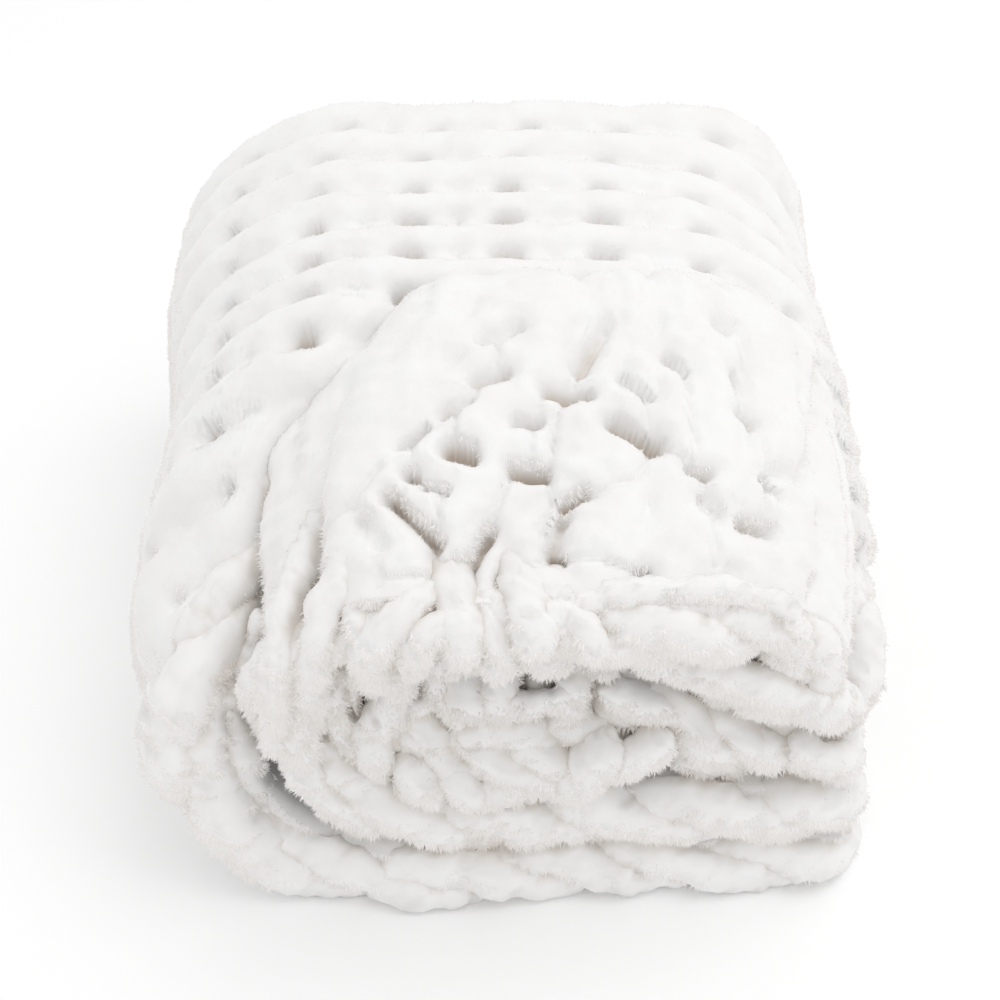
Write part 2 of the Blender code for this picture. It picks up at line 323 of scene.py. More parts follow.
class Cloth:
    """The middle surface of the whole cloth, by stitch and row."""

    def __init__(self):
        grid, ends = self.sections(ROWS_GRID)
        run = blur(lengths_along(grid), FOLD_EVEN, 1)
        count = run / run[-1] * STITCHES
        self.points = self.even_stitches(grid, count)
        across = np.gradient(self.points, axis=0)
        down = np.gradient(self.points, axis=1)
        normal = unit(np.cross(across, down))
        self.normals = unit(blur(blur(normal, 3.0, 0), 2.0, 1))
        # the row at which the outer ply ends, by stitch
        column = np.round((-ends - ROWS_GRID[0]) * ROW_STEP).astype(int)
        column = np.clip(column, 0, len(ROWS_GRID) - 1)
        place = count[np.arange(len(ends)), column]
        order = np.argsort(place)
        self.outer_end = np.interp(STITCH_GRID, place[order], ends[order])
        self.outer_end = blur(np.minimum(self.outer_end, EDGE_ROW), 4.0, 0)

    def sections(self, rows, count=660):
        """The cloth at places along the roll, and the outer ply's last row there."""
        at, line_x, line_z, heading = centre_line()
        whole = at[-1]
        samples = np.linspace(0.0, whole, count)
        inner_end = whole - INNER_RUN
        grid = np.zeros((count, len(rows), 3))
        ends = np.zeros(count)
        pull = smooth(0.5 - rows / INNER_END)
        for i, length in enumerate(samples):
            share = length / whole
            points, distance = cloth_section(share)
            edge = -distance[0]
            full = edge + max(0.0, front_at(share)[0] - MOST_BARE)
            outer, inner = -row_distance(rows, full), row_distance(rows, distance[-1])
            away = np.where(rows < 0, outer, inner)
            y = self.stretch(away, distance, points[:, 0])
            offset = self.stretch(away, distance, points[:, 1])
            on_outer = rows <= 0
            ends[i] = np.interp(edge, -away[on_outer][::-1], -rows[on_outer][::-1])
            late = max(0.0, (length - inner_end) / INNER_RUN)
            along = length - late * pull * OUTER_SHORT * whole
            x = np.interp(along, at, line_x)
            z = np.interp(along, at, line_z)
            turn = np.interp(along, at, heading)
            grid[i, :, 0] = x - np.sin(turn) * offset
            grid[i, :, 1] = y + CENTRE[1]
            grid[i, :, 2] = z + np.cos(turn) * offset
        return grid, ends

    @staticmethod
    def even_stitches(grid, count):
        """The same cloth at even stitches, going straight on beyond its two ends."""
        inside = STITCH_GRID.clip(0, STITCHES)
        even = np.zeros((len(STITCH_GRID), grid.shape[1], 3))
        for k in range(grid.shape[1]):
            for c in range(3):
                even[:, k, c] = np.interp(inside, count[:, k], grid[:, k, c])
        n = STITCH_STEP
        for step in range(1, n + 1):
            even[n - step] = even[n] + (even[n] - even[n + 1]) * step
            even[-n - 1 + step] = even[-n - 1] + (even[-n - 1] - even[-n - 2]) * step
        return blur(blur(even, 3.0, 0), 1.6, 1)

    @staticmethod
    def stretch(away, distance, values):
        """Looks up values, going straight on beyond the two edges."""
        found = np.interp(away, distance, values)
        sides = (0, 3, away < distance[0]), (-1, -4, away > distance[-1])
        for end, near, beyond in sides:
            slope = (values[end] - values[near]) / (distance[end] - distance[near])
            found[beyond] = values[end] + slope * (away[beyond] - distance[end])
        return found

    def at(self, stitch, row):
        """Points and normals at arrays of stitch and row counts."""
        a = (stitch - STITCH_GRID[0]) * STITCH_STEP
        b = (row - ROWS_GRID[0]) * ROW_STEP
        a = np.clip(a, 0, len(STITCH_GRID) - 1.001)
        b = np.clip(b, 0, len(ROWS_GRID) - 1.001)
        i, k = a.astype(int), b.astype(int)
        u, v = (a - i)[..., None], (b - k)[..., None]
        return mix(self.points, i, k, u, v), unit(mix(self.normals, i, k, u, v))

    def end_of_outer(self, stitch):
        return np.interp(stitch, STITCH_GRID, self.outer_end)


# ---- tubes and pieces ----------------------------------------------------------
class Mesh:
    """Gathers tubes into one mesh."""

    def __init__(self):
        self.verts, self.faces, self.count = [], [], 0

    def add(self, verts, faces):
        self.verts.append(verts)
        self.faces += [tuple(f) for f in (faces + self.count).tolist()]
        self.count += len(verts)

    def tube(self, path, normal, wide, thick):
        """A closed tube along path; wide lies in the cloth, thick across it."""
        ahead = unit(np.gradient(path, axis=0))
        up = unit(normal - (normal * ahead).sum(1)[:, None] * ahead)
        side = np.cross(ahead, up)
        angle = np.arange(SIDES) / SIDES * 2 * math.pi
        ring = (
            side[:, None] * (np.cos(angle)[None, :] * wide[:, None])[..., None]
            + up[:, None] * (np.sin(angle)[None, :] * thick[:, None])[..., None]
        )
        verts = (path[:, None] + ring).reshape(-1, 3)
        n = len(path)
        k = np.arange(SIDES)
        i = np.arange(n - 1)[:, None] * SIDES
        a, b = i + k, i + (k + 1) % SIDES
        quads = np.stack([a, a + SIDES, b + SIDES, b], -1).reshape(-1, 4)
        self.add(verts, quads)
        base = self.count - len(verts)
        # a point closes each end
        self.verts.append(np.stack([path[0], path[-1]]))
        first, last = self.count, self.count + 1
        self.count += 2
        top = base + (n - 1) * SIDES
        for q in range(SIDES):
            r = (q + 1) % SIDES
            self.faces.append((base + q, base + r, first))
            self.faces.append((top + r, top + q, last))

    def arrays(self):
        return np.concatenate(self.verts), self.faces


def new_object(name, verts, faces, material, lowest):
    """A piece that rides on the body, with nothing below the lowest height."""
    verts[:, 2] = np.maximum(verts[:, 2], lowest)
    data = bpy.data.meshes.new(name)
    data.from_pydata(verts, [], faces)
    data.update()
    data.materials.append(material)
    data.shade_smooth()
    made = bpy.data.objects.new(name, data)
    bpy.context.scene.collection.objects.link(made)
    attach(made, BODY)
    return made


# ---- yarn ----------------------------------------------------------------------
STITCH = 56.5 * MM  # width of a stitch
GRAIN = 1.5 * MM  # fineness of the relief maps
Loop = namedtuple("Loop", "half bulge closed over face uneven wide narrow thick")
# half     rows that a loop reaches either side of its own row
# bulge    stitches by which its head is wider than its feet
# closed   stitches by which its two legs draw together
# over     how much more of it lies on the purl face than on the knit one
# face     how far heads stand out on the purl face, and legs on the knit one
# uneven   stitches by which loops stray
# wide     half the width of the yarn, narrow what its legs lack of that
# thick    half its thickness across the cloth
PURL_SIDE = Loop(
    0.98, 0.13, 0.085, 0.30, 4.0 * MM, 0.03, 12.8 * MM, 2.9 * MM, 11.5 * MM
)
KNIT_SIDE = Loop(0.95, 0.08, 0.09, 0.0, -4.0 * MM, 0.10, 13.4 * MM, 0, 12.0 * MM)
PURL_SWING = 1.25  # how boldly the yarn passes from face to face on either side
KNIT_SWING = 1.3
STRAY_DOWN = 1.3  # how much more loops stray along the rows than across them
UNLEVEL = 1.2 * MM  # how unevenly the yarn lies, and how uneven it is itself
UNEVEN_WIDTH = 0.09
UNEVEN_THICKNESS = 0.05
# stitches from one unevenness to the next: in the loops' straying across and down,
# in the yarn's level, in its width and in its thickness
UNEVEN_EVERY = (2.3, 2.9, 2.1, 1.1, 1.3)
FILLS_OUT = 1.0 * MM  # how much wider the yarn is where stitches are shut
SAMPLES = 26  # places along the yarn in each stitch
PURL_SOFT = 1.4 * MM  # how softly the loops of either face meet
KNIT_SOFT = 2.2 * MM
SIDES = 14  # sides of a strand
SKIN_BACK = -14 * MM  # back of the knit shells
BACK_LIGHT_AND_NAP = 0.9  # a little painted shade on their backs, where the pile is nearly full
FULL_LIGHT_AND_NAP = (-8 * MM, 9 * MM)  # the height at which the painted shade on their fronts starts to lift, and the rise over which it is gone and the pile is full
BACK_STEP = 6  # their backs have that many times fewer points
RIM = 4  # points over which their fronts come up from their backs
RELIEF_FLOOR = (-11 * MM, -10 * MM)  # between loops, on the purl and on the knit side

# ---- places on the cloth, in stitches and rows ---------------------------------
ROW_INSET = 0.2  # how far before the edges the faces and the strands stop
END_INSET = 0.1
BARE_BEGIN = 8.6  # the row that the knit face starts at, where it isn't bare
UNDER_OUTER = 3.2  # how far it runs under the outer ply where it is
CREASE = 1.1  # how far under the outer ply's edge its swell is highest
CREASE_LEFT = 0.4  # and how much farther on the left
# spans: first, last, rise and fall, or first and rise, or last and fall, or
# middle, reach and how broad
BARE = (8.2, 17.2, 0.8, 0.8)  # where the inner ply is bare
BEHIND_BARE = (8.6, 17.2, 0.8, 0.8)
BESIDE_BARE = (8.3, 12.2, 1.2, 1.2)
BARE_LEFT = (8.6, 11.4, 1.2, 1.2)
UNDER_LEFT = (8.2, 11.0, 0.6, 0.8)
BY_HAND = (8.4, 14.0, 0.5, 0.7)  # where its strands and openings are listed one by one
CALM = (8.0, 3.0)  # where the outer ply is smooth
LEFT_SIDE = (7.0, 2.0, 1.2)
SHOULDER_AT = (14.9, 1.5)
LOOSE_TWIST = (6.9, 2.4)  # where the strands of the hem are twisted least
FAT_HEM = (7.4, 2.2)
LOOSE_CURL = (6.8, 1.8)
BULGING_CURL = (2.8, 8.9, 1.6, 1.2)
HEM_DOWN = (8.7, 1.5)  # where the outer ply's hem sinks under the bare part
HEM_UP = 12  # and where it is up again
HEM_END = 10.6  # it is out of sight here
HEM_AGAIN = 16.6  # and comes out again here
CORE = (0.74 * STITCHES, 1.5)
INSIDE = 0.745 * STITCHES  # from here on the cloth lies inside the roll
PHASE = 0.7  # how far the openings on the outer ply are shifted
OPEN = (7.3, 15.2, 1.5, 1.8)  # where stitches on top stand open
OPEN_MORE = (9.8, 2.4)
SLANT_FROM = (14.5, 3.5)  # where the bare part's stitches start to slant
LIFT_LEFT_FROM = (13.2, 1.2)
# and spans in rows
FOLD_PAST = 2.4  # rows of the inner ply that show at the back fold
OPEN_ROWS = (2.3, 1.3)
OPEN_ROW = -5.1
OPEN_BEND = (11.9, 0.75)  # left of this stitch, the open rows lie lower and lower
CALM_ROWS = (3.5, 3)
SHOULDER_ROWS = (-0.4, 2.6)
LOW_ROWS = (6.5, 4)  # where the left side swells
CREASE_ROWS = (2.3, 1.15)
CLOSED_ROWS = (0, 0.9, 1.2)  # from the outer ply's edge, where it has no openings
SWELL_ROWS = (0, 2.2, 1.6)  # and where it swells
TUCKED_ROWS = 1.1  # and where it is tucked down
TUCKED_ROWS_LEFT = 0.45  # how many fewer on the left

# ---- how far the cloth stands out of its middle surface there ------------------
LEFT_SWELL = 12 * MM  # the left side, low down at the front
SHOULDER = 19 * MM  # the right shoulder at the back
BESIDE_SWELL = 5 * MM  # the outer ply, left of the bare part
TUCKED = 9 * MM  # its edge over the bare part, tucked down
HEM_SINKS = 14 * MM
CURL_BULGE = 10 * MM
BARE_LIFT = 12 * MM  # the bare part where it meets that edge
BARE_LIFT_LEFT = 5 * MM  # more of it on the left, and once more beside the left side
CALM_HEIGHT = 12 * MM  # the outer ply where it is smooth
CALM_UNEVEN = 1.5 * MM
CALM_SHARE = 0.62  # how much smoother it is there, and right beside the bare part
CLOSE_SHARE = 0.6
HAND_HEIGHT = 13.0 * MM  # the bare part where its strands and openings are listed one by one
HAND_UNEVEN = 1.6 * MM
HAND_SHARE = 0.75  # how much of it is so
HAND_LUMPS = 15 * MM  # loops higher than this still stand out of it

# ---- strands along the edges ---------------------------------------------------
YARN_LUMPS = (14 * MM, 0.7 * MM, 5)  # size, height and seed of the lumps in all yarn
STRAND_LUMPS = (  # and in a strand besides
    (34 * MM, 2.2 * MM, 6),
    (20 * MM, 2.0 * MM, 9),
    (10 * MM, 1.5 * MM, 8),
)
CHAIN_PITCH = 116 * MM  # one full twist of the two strands along an edge
CORE_PITCH = 76 * MM  # and inside the roll
CHAIN_OUT = 7.0 * MM
CHAIN_SIDE = 4.0 * MM
CHAIN_SIZE = 13.4 * MM
CHAIN_RINGS = 4.5 * MM
CHAIN_TAPER = 6  # rings over which its ends are rounded
CHAIN_UNEVEN = 0.09
CHAIN_FLAT = 0.94
# shares by which it is changed along the way
TWIST_LONGER = 1.2
CURL_WIDER = 0.5
HEM_FATTER = 0.42
HEM_THINNER = 0.35
CORE_THINNER = 0.05

# ---- lengths of yarn listed one by one -----------------------------------------
LOOP_RINGS = 3 * MM
LOOP_UNEVEN = 0.08
LOOP_BOW = 2.5 * MM  # how far a short loop bows forward
LIP_LEVEL = 5 * MM
BARE_SHEAR = 0.42  # how far the bare part's stitches slant on the left
STRAND_ROUND = 10 * MM  # how far from an opening the strands beside it turn round
GENTLE = 5  # they turn down by that many millimetres at the most,
GENTLE_SHARE = 0.4  # or by this share of the opening's depth


# ---- relief maps and shells ----------------------------------------------------
def flatter(wave):
    """Broadens the tops of a cosine."""
    return np.sin(wave * math.pi / 2)


class Relief:
    """Heights of the yarn over a flat map of a face of the cloth."""

    def __init__(self, u_range, v_range, floor):
        self.start = np.array([u_range[0], v_range[0]])
        nu = int((u_range[1] - u_range[0]) / GRAIN) + 2
        nv = int((v_range[1] - v_range[0]) / GRAIN) + 2
        self.high = np.full((nu, nv), floor)
        self.u = u_range[0] + np.arange(nu) * GRAIN
        self.v = v_range[0] + np.arange(nv) * GRAIN

    def stamp(self, u, v, level, wide, thick):
        """Raises round tops at arrays of places, as a run of yarn."""
        for a, b, low, w, t in zip(u, v, level, wide, thick):
            i = int((a - w - self.start[0]) / GRAIN) + 1
            k = int((b - w - self.start[1]) / GRAIN) + 1
            i_end = int((a + w - self.start[0]) / GRAIN) + 1
            k_end = int((b + w - self.start[1]) / GRAIN) + 1
            i, k = max(i, 0), max(k, 0)
            du = self.u[i:i_end, None] - a
            dv = self.v[None, k:k_end] - b
            if du.size == 0 or dv.size == 0:
                continue
            share = 1 - (du * du + dv * dv) / (w * w)
            dome = np.where(share > 0, low + t * np.sqrt(np.maximum(share, 0)), -1)
            part = self.high[i:i_end, k:k_end]
            np.maximum(part, dome, out=part)

    def soften(self, reach):
        grains = reach / GRAIN
        self.high = blur(blur(self.high, grains, 0), grains, 1)

    def at(self, u, v):
        a = np.clip((u - self.start[0]) / GRAIN, 0, self.high.shape[0] - 1.001)
        b = np.clip((v - self.start[1]) / GRAIN, 0, self.high.shape[1] - 1.001)
        i, k = a.astype(int), b.astype(int)
        return mix(self.high, i, k, a - i, b - k)


def knit(relief, loop, rows, stitches, seed, gape):
    """Stamps rows of loops; gape(stitch, row) thins the yarn where they stand open."""
    first, last = stitches
    t = np.arange(first * SAMPLES, last * SAMPLES + 1) / SAMPLES * 2 * math.pi
    stitch = t / (2 * math.pi) + loop.bulge * np.sin(2 * t) + loop.closed * np.sin(t)
    if loop is KNIT_SIDE:
        head = np.cos(2 * t) * KNIT_SWING
    else:
        head = flatter(np.clip(np.cos(2 * t) * PURL_SWING + loop.over, -1, 1))
    for j in rows:
        row = j - loop.half * flatter(np.cos(t))
        place = np.stack([stitch, row], 1)
        across, down, lie, width, thickness = (
            waves(place, every, seed + 10 * j + k)
            for k, every in enumerate(UNEVEN_EVERY)
        )
        u = (stitch + loop.uneven * across) * STITCH
        v = (row + STRAY_DOWN * loop.uneven * down) * ROW_PITCH
        level = loop.face * head + UNLEVEL * lie
        wide = loop.wide - loop.narrow * (0.5 - head / 2)
        wide = wide * (1 + UNEVEN_WIDTH * width)
        wide = wide + (1 - gape(stitch, row)) * (4 - head) * FILLS_OUT
        thick = loop.thick * (1 + UNEVEN_THICKNESS * thickness)
        relief.stamp(u, v, level, wide, thick)


def grid_faces(n, m):
    """The faces of a grid of n by m points."""
    a = (np.arange(n - 1)[:, None] * m + np.arange(m - 1)[None, :]).reshape(-1)
    return np.stack([a, a + m, a + m + 1, a + 1], 1).tolist()


def shell(points, normals, high):
    """A closed shell with relief on its front, as vertices, front and all faces."""
    n, m = high.shape
    i = np.minimum(np.arange(n), np.arange(n)[::-1])[:, None]
    k = np.minimum(np.arange(m), np.arange(m)[::-1])[None, :]
    near = np.sqrt(smooth(np.minimum(i, k) / RIM))
    top = points + normals * (SKIN_BACK + (high - SKIN_BACK) * near)[:, :, None]
    low = (points + normals * SKIN_BACK)[::BACK_STEP, ::BACK_STEP]
    front = grid_faces(n, m)
    # the back: big faces, whose rims take in every point of the front's rim
    nb, mb = low.shape[:2]
    number = np.full((nb, mb), -1)
    inner = np.zeros((nb, mb), bool)
    inner[1:-1, 1:-1] = True
    number[inner] = n * m + np.arange(inner.sum())
    for x in range(nb):
        for y in range(mb):
            if number[x, y] < 0:
                number[x, y] = x * BACK_STEP * m + y * BACK_STEP

    def run(one, two):
        """Corners from one coarse point up to the next, along the rim if on it."""
        (x, y), (p, q) = one, two
        on_rim = (x == p and x in (0, nb - 1)) or (y == q and y in (0, mb - 1))
        if not on_rim:
            return [number[x, y]]
        return [
            (x * BACK_STEP + (p - x) * step) * m + y * BACK_STEP + (q - y) * step
            for step in range(BACK_STEP)
        ]

    rear = []
    for x in range(nb - 1):
        for y in range(mb - 1):
            corners = [(x, y), (x, y + 1), (x + 1, y + 1), (x + 1, y), (x, y)]
            face = []
            for one, two in zip(corners, corners[1:]):
                face += [int(c) for c in run(one, two)]
            rear.append(face)
    verts = np.concatenate([top.reshape(-1, 3), low[1:-1, 1:-1].reshape(-1, 3)])
    outward = np.cross(points[1, 0] - points[0, 0], points[0, 1] - points[0, 0])
    if outward @ normals[0, 0] < 0:
        front = [f[::-1] for f in front]
        rear = [f[::-1] for f in rear]
    return verts, front, front + rear


# ---- strands and faces ---------------------------------------------------------
def edge_of_outer(cloth, stitch):
    return np.minimum(cloth.end_of_outer(stitch), EDGE_ROW) - ROW_INSET


def border(cloth):
    """(stitch, row) round the edges of the cloth, but for the outer ply's edge
    where the inner ply is bare, because it lies under the swell there."""
    steps = np.linspace(0.3, STITCHES - 0.3, 900)
    right_of = steps[steps > HEM_AGAIN]
    left_of = steps[steps < HEM_END]
    rise = np.linspace(-EDGE_ROW + 0.6, EDGE_ROW - 0.6, 300)
    stitch = [right_of, np.full_like(rise, STITCHES - END_INSET), steps[::-1]]
    stitch += [np.full_like(rise, END_INSET), left_of]
    row = [-edge_of_outer(cloth, right_of), rise]
    row += [np.full_like(steps, EDGE_ROW - ROW_INSET), rise[::-1]]
    row += [-edge_of_outer(cloth, left_of)]
    return np.concatenate(stitch), np.concatenate(row)


def edge_chain(cloth, mesh, seed):
    """Two strands twisted round each other along the edges of the cloth."""
    stitch, row = border(cloth)
    at = lengths_along(cloth.at(stitch, row)[0])
    whole = at[-1]
    count = int(whole / CHAIN_RINGS)
    along = np.arange(count + 1) / count * whole
    stitch, row = np.interp(along, at, stitch), np.interp(along, at, row)
    points, normals = cloth.at(stitch, row)
    points = blur(points, 2.5, 0)
    out = np.cross(unit(np.gradient(points, axis=0)), normals)
    hem, lower = row < 0, row > 0
    core = after(stitch, *CORE)
    # the hem sinks under the bare part, and the curl below it bulges outward
    sunk = after(stitch, *HEM_DOWN) * hem * (stitch < HEM_UP)
    bulge = between(stitch, *BULGING_CURL) * lower
    points = points - normals * (HEM_SINKS * sunk + CURL_BULGE * bulge)[:, None]
    swell = around(stitch, *LEFT_SIDE) * hem
    points = points + normals * (LEFT_SWELL * swell)[:, None]
    pitch = CHAIN_PITCH + (CORE_PITCH - CHAIN_PITCH) * core
    pitch = pitch * (1 + TWIST_LONGER * around(stitch, *LOOSE_TWIST))
    twist = np.cumsum(2 * math.pi / pitch) * (whole / count)
    uneven = waves(np.stack([along * 9, along * 4], 1), 1.0, seed)
    stand_out = CHAIN_OUT * (1 + CURL_WIDER * around(stitch, *LOOSE_CURL) * lower)
    near = np.minimum(np.arange(count + 1), np.arange(count + 1)[::-1])
    taper = np.sqrt(1 - (1 - np.clip((near + 0.4) / CHAIN_TAPER, 0, 1)) ** 2)
    fat = 1 + HEM_FATTER * around(stitch, *FAT_HEM) * hem
    for strand in (0, 1):
        angle = twist + strand * math.pi + 0.5 * uneven
        path = points + normals * (stand_out * np.cos(angle))[:, None]
        path = path + out * (CHAIN_SIDE * np.sin(angle))[:, None]
        lumps = waves(path, 45 * MM, seed + 5 + strand)
        size = CHAIN_SIZE * (1 + CHAIN_UNEVEN * lumps) * (1 + 0.1 * np.cos(angle))
        size = size * (1 - CORE_THINNER * core) * (1 - HEM_THINNER * sunk) * fat * taper
        mesh.tube(path, normals, size, size * CHAIN_FLAT)


def face_grid(cloth, columns, first, last, count):
    """Rows from first to last in each column: stitches, rows, points and normals."""
    share = np.linspace(0, 1, count)
    row = first + (last - first) * share[None, :]
    stitch = np.repeat(columns[:, None], count, 1)
    return stitch, row, *cloth.at(stitch, row)


def even_columns(first, last, a_stitch):
    """Stitches from first to last, in a number that the shells' backs can divide."""
    count = int((last - first) * a_stitch / BACK_STEP) * BACK_STEP + 1
    return np.linspace(first, last, count)


def open_outside(stitch, row):
    """How open the stitches stand: most on top, just behind the bare part."""
    at = stitch + PHASE
    along = (0.5 + 0.5 * after(at, *OPEN_MORE)) * between(at, *OPEN)
    middle = OPEN_ROW - OPEN_BEND[1] * np.maximum(OPEN_BEND[0] - at, 0)
    return along * around(row, middle, *OPEN_ROWS)


def all_open(stitch, row):
    return np.ones_like(stitch)


def purl_face(cloth, relief, columns, rows_in, count):
    """The purl face, on the outside of the roll and round its back fold.

    Gives its points and normals, how far the yarn stands out there, and how far
    it would if the cloth lay plain, for the painted shade in its openings and its pile."""
    end = np.minimum(cloth.end_of_outer(columns) + 0.1, EDGE_ROW - ROW_INSET)
    low = -np.minimum(end, rows_in)[:, None]
    stitch, row, points, normals = face_grid(cloth, columns, low, FOLD_PAST, count)
    from_edge = row - low
    high = relief.at((stitch - PHASE) * STITCH, row * ROW_PITCH)
    calm = around(stitch, *CALM) * after(-row, *CALM_ROWS)
    flat = CALM_HEIGHT + CALM_UNEVEN * waves(points, 60 * MM, 21)
    high = high + CALM_SHARE * calm * (flat - high)
    # no openings right beside the bare part's left side
    left = between(stitch, *BESIDE_BARE)
    close = left * around(from_edge, *CLOSED_ROWS)
    high = high + CLOSE_SHARE * close * (flat - high)
    # painted shade in the openings goes by the heights so far, not by the tucks and
    # swells that follow
    nap = high
    # the edge over the bare part is tucked under it
    beyond = smooth(from_edge / (TUCKED_ROWS - TUCKED_ROWS_LEFT * left))
    high = high - TUCKED * between(stitch, *BEHIND_BARE) * (1 - beyond)
    # and it swells up beside the bare part's left side
    high = high + BESIDE_SWELL * (left * around(from_edge, *SWELL_ROWS))
    corner = around(stitch, *SHOULDER_AT) * around(row, *SHOULDER_ROWS)
    high = high + SHOULDER * corner
    low_left = around(stitch, *LEFT_SIDE) * after(-row, *LOW_ROWS)
    return points, normals, high + LEFT_SWELL * low_left, nap


def bare_face(cloth):
    """The knit face, where the inner ply is bare and along its front edge."""
    columns = even_columns(END_INSET, STITCHES - END_INSET, 26)
    bare = (columns > BARE[0]) & (columns < BARE[1])
    begin = np.where(bare, cloth.end_of_outer(columns) - UNDER_OUTER, BARE_BEGIN)
    # on the left it runs on farther under the outer ply
    begin = begin - 1.3 * between(columns, *UNDER_LEFT)
    begin = blur(np.minimum(begin, BARE_BEGIN), 6.0, 0)[:, None]
    edge = EDGE_ROW - ROW_INSET
    stitch, row, points, normals = face_grid(cloth, columns, edge, begin, 151)
    deep = blur(lengths_along(points.swapaxes(0, 1)).T, 8.0, 0)
    shear = BARE_SHEAR * before(stitch, *SLANT_FROM)
    u = stitch * STITCH - shear * deep
    relief = Relief(
        (-2 * STITCH, (STITCHES + 1) * STITCH),
        (-0.5 * ROW_PITCH, 10 * ROW_PITCH),
        RELIEF_FLOOR[1],
    )
    knit(relief, KNIT_SIDE, range(-2, 12), (-3, STITCHES + 2), 5000, all_open)
    crowd(relief, stitch, row, u, deep, LIP_LOOPS)
    relief.soften(KNIT_SOFT)
    high = relief.at(u, deep)
    # it swells up to meet the outer ply's edge
    left = between(stitch, *BARE_LEFT)
    crease = cloth.end_of_outer(stitch) - CREASE - CREASE_LEFT * left
    meets = around(row, crease, *CREASE_ROWS)
    lift = BARE_LIFT + BARE_LIFT_LEFT * (before(stitch, *LIFT_LEFT_FROM) + left)
    lift = lift * between(stitch, *BARE)
    points = points - normals * (lift * meets)[:, :, None]
    # where its strands are listed one by one, they are parted by grooves and openings
    by_hand = HAND_SHARE * between(stitch, *BY_HAND)
    plain = HAND_HEIGHT + HAND_UNEVEN * waves(points, 45 * MM, 22)
    lumps = np.maximum(high - HAND_LUMPS, 0)
    high = high + by_hand * (plain + lumps - high)
    high = high - openings(stitch, row, points)
    return points, -normals, high


def openings(stitch, row, points):
    """How deep the bare part is parted at the points of its face."""
    open_at, soft_at = np.zeros(stitch.shape), np.zeros(stitch.shape)
    for half, depth, *places in BARE_OPENINGS:
        spots = [points[k] for k in nearest(stitch, row, places)]
        reach = 0.8 * half * MM
        for one, two in zip(spots, spots[1:]):
            away = distance_to_run(points, one, two)
            steep = depth * MM * smooth((1.6 * reach - away) / (1.35 * reach))
            open_at = np.maximum(open_at, steep)
            gentle = min(GENTLE, GENTLE_SHARE * depth) * MM
            soft = gentle * smooth((reach + STRAND_ROUND - away) / STRAND_ROUND)
            soft_at = np.maximum(soft_at, soft)
    return open_at * 0.9 + soft_at


def nearest(stitch, row, places):
    """Where in a face's grid it comes nearest to each (stitch, row) place."""
    found = []
    for across, along in places:
        off = (stitch - across) ** 2 + (row - along) ** 2
        found.append(np.unravel_index(np.argmin(off), off.shape))
    return found


def distance_to_run(points, start, end):
    run = end - start
    share = ((points - start) @ run) / max(run @ run, 1e-12)
    from_run = points - (start + np.clip(share, 0, 1)[..., None] * run)
    return np.linalg.norm(from_run, axis=-1)


def crowd(relief, stitch, row, u, deep, table):
    """Stamps fat lengths of yarn through (stitch, row) places into a relief."""
    for thick, *places in table:
        spots = np.array([(u[k], deep[k]) for k in nearest(stitch, row, places)])
        along = lengths_along(spots)
        at = np.linspace(0, along[-1], int(along[-1] / (2 * MM)) + 2)
        path = [np.interp(at, along, c) for c in spots.T]
        radius = np.full_like(at, thick * MM)
        relief.stamp(*path, np.full_like(at, LIP_LEVEL), radius, radius * 0.75)


def round_ended(mesh, spots, radius, normal, seed):
    """A length of yarn through some spots, with round ends."""
    along = lengths_along(spots)
    whole = along[-1]
    count = int(whole / LOOP_RINGS) + 12
    # closer rings where the round ends turn in
    at = np.sin(np.linspace(-math.pi / 2, math.pi / 2, count))
    at = (at + 1) / 2 * (whole + 2 * radius) - radius
    curve = np.polyfit(along, spots, min(len(along) - 1, 4))

    def on_curve(places):
        return np.stack([np.polyval(curve[:, c], places) for c in range(3)], -1)

    path = on_curve(at)
    # straight on beyond the first and last spots
    for end, beyond in ((0.0, at < 0), (whole, at > whole)):
        toward = 0.02 * whole if end == 0 else -0.02 * whole
        slope = (on_curve(end + toward) - on_curve(end)) / toward
        path[beyond] = on_curve(end) + slope * (at[beyond] - end)[:, None]
    over = np.abs(at - np.clip(at, 0, whole)) / radius
    size = radius * np.sqrt(np.maximum(1 - over**2, 0.0025))
    size = size * (1 + LOOP_UNEVEN * waves(path, 30 * MM, seed))
    mesh.tube(path, np.tile(normal, (count, 1)), size, size)
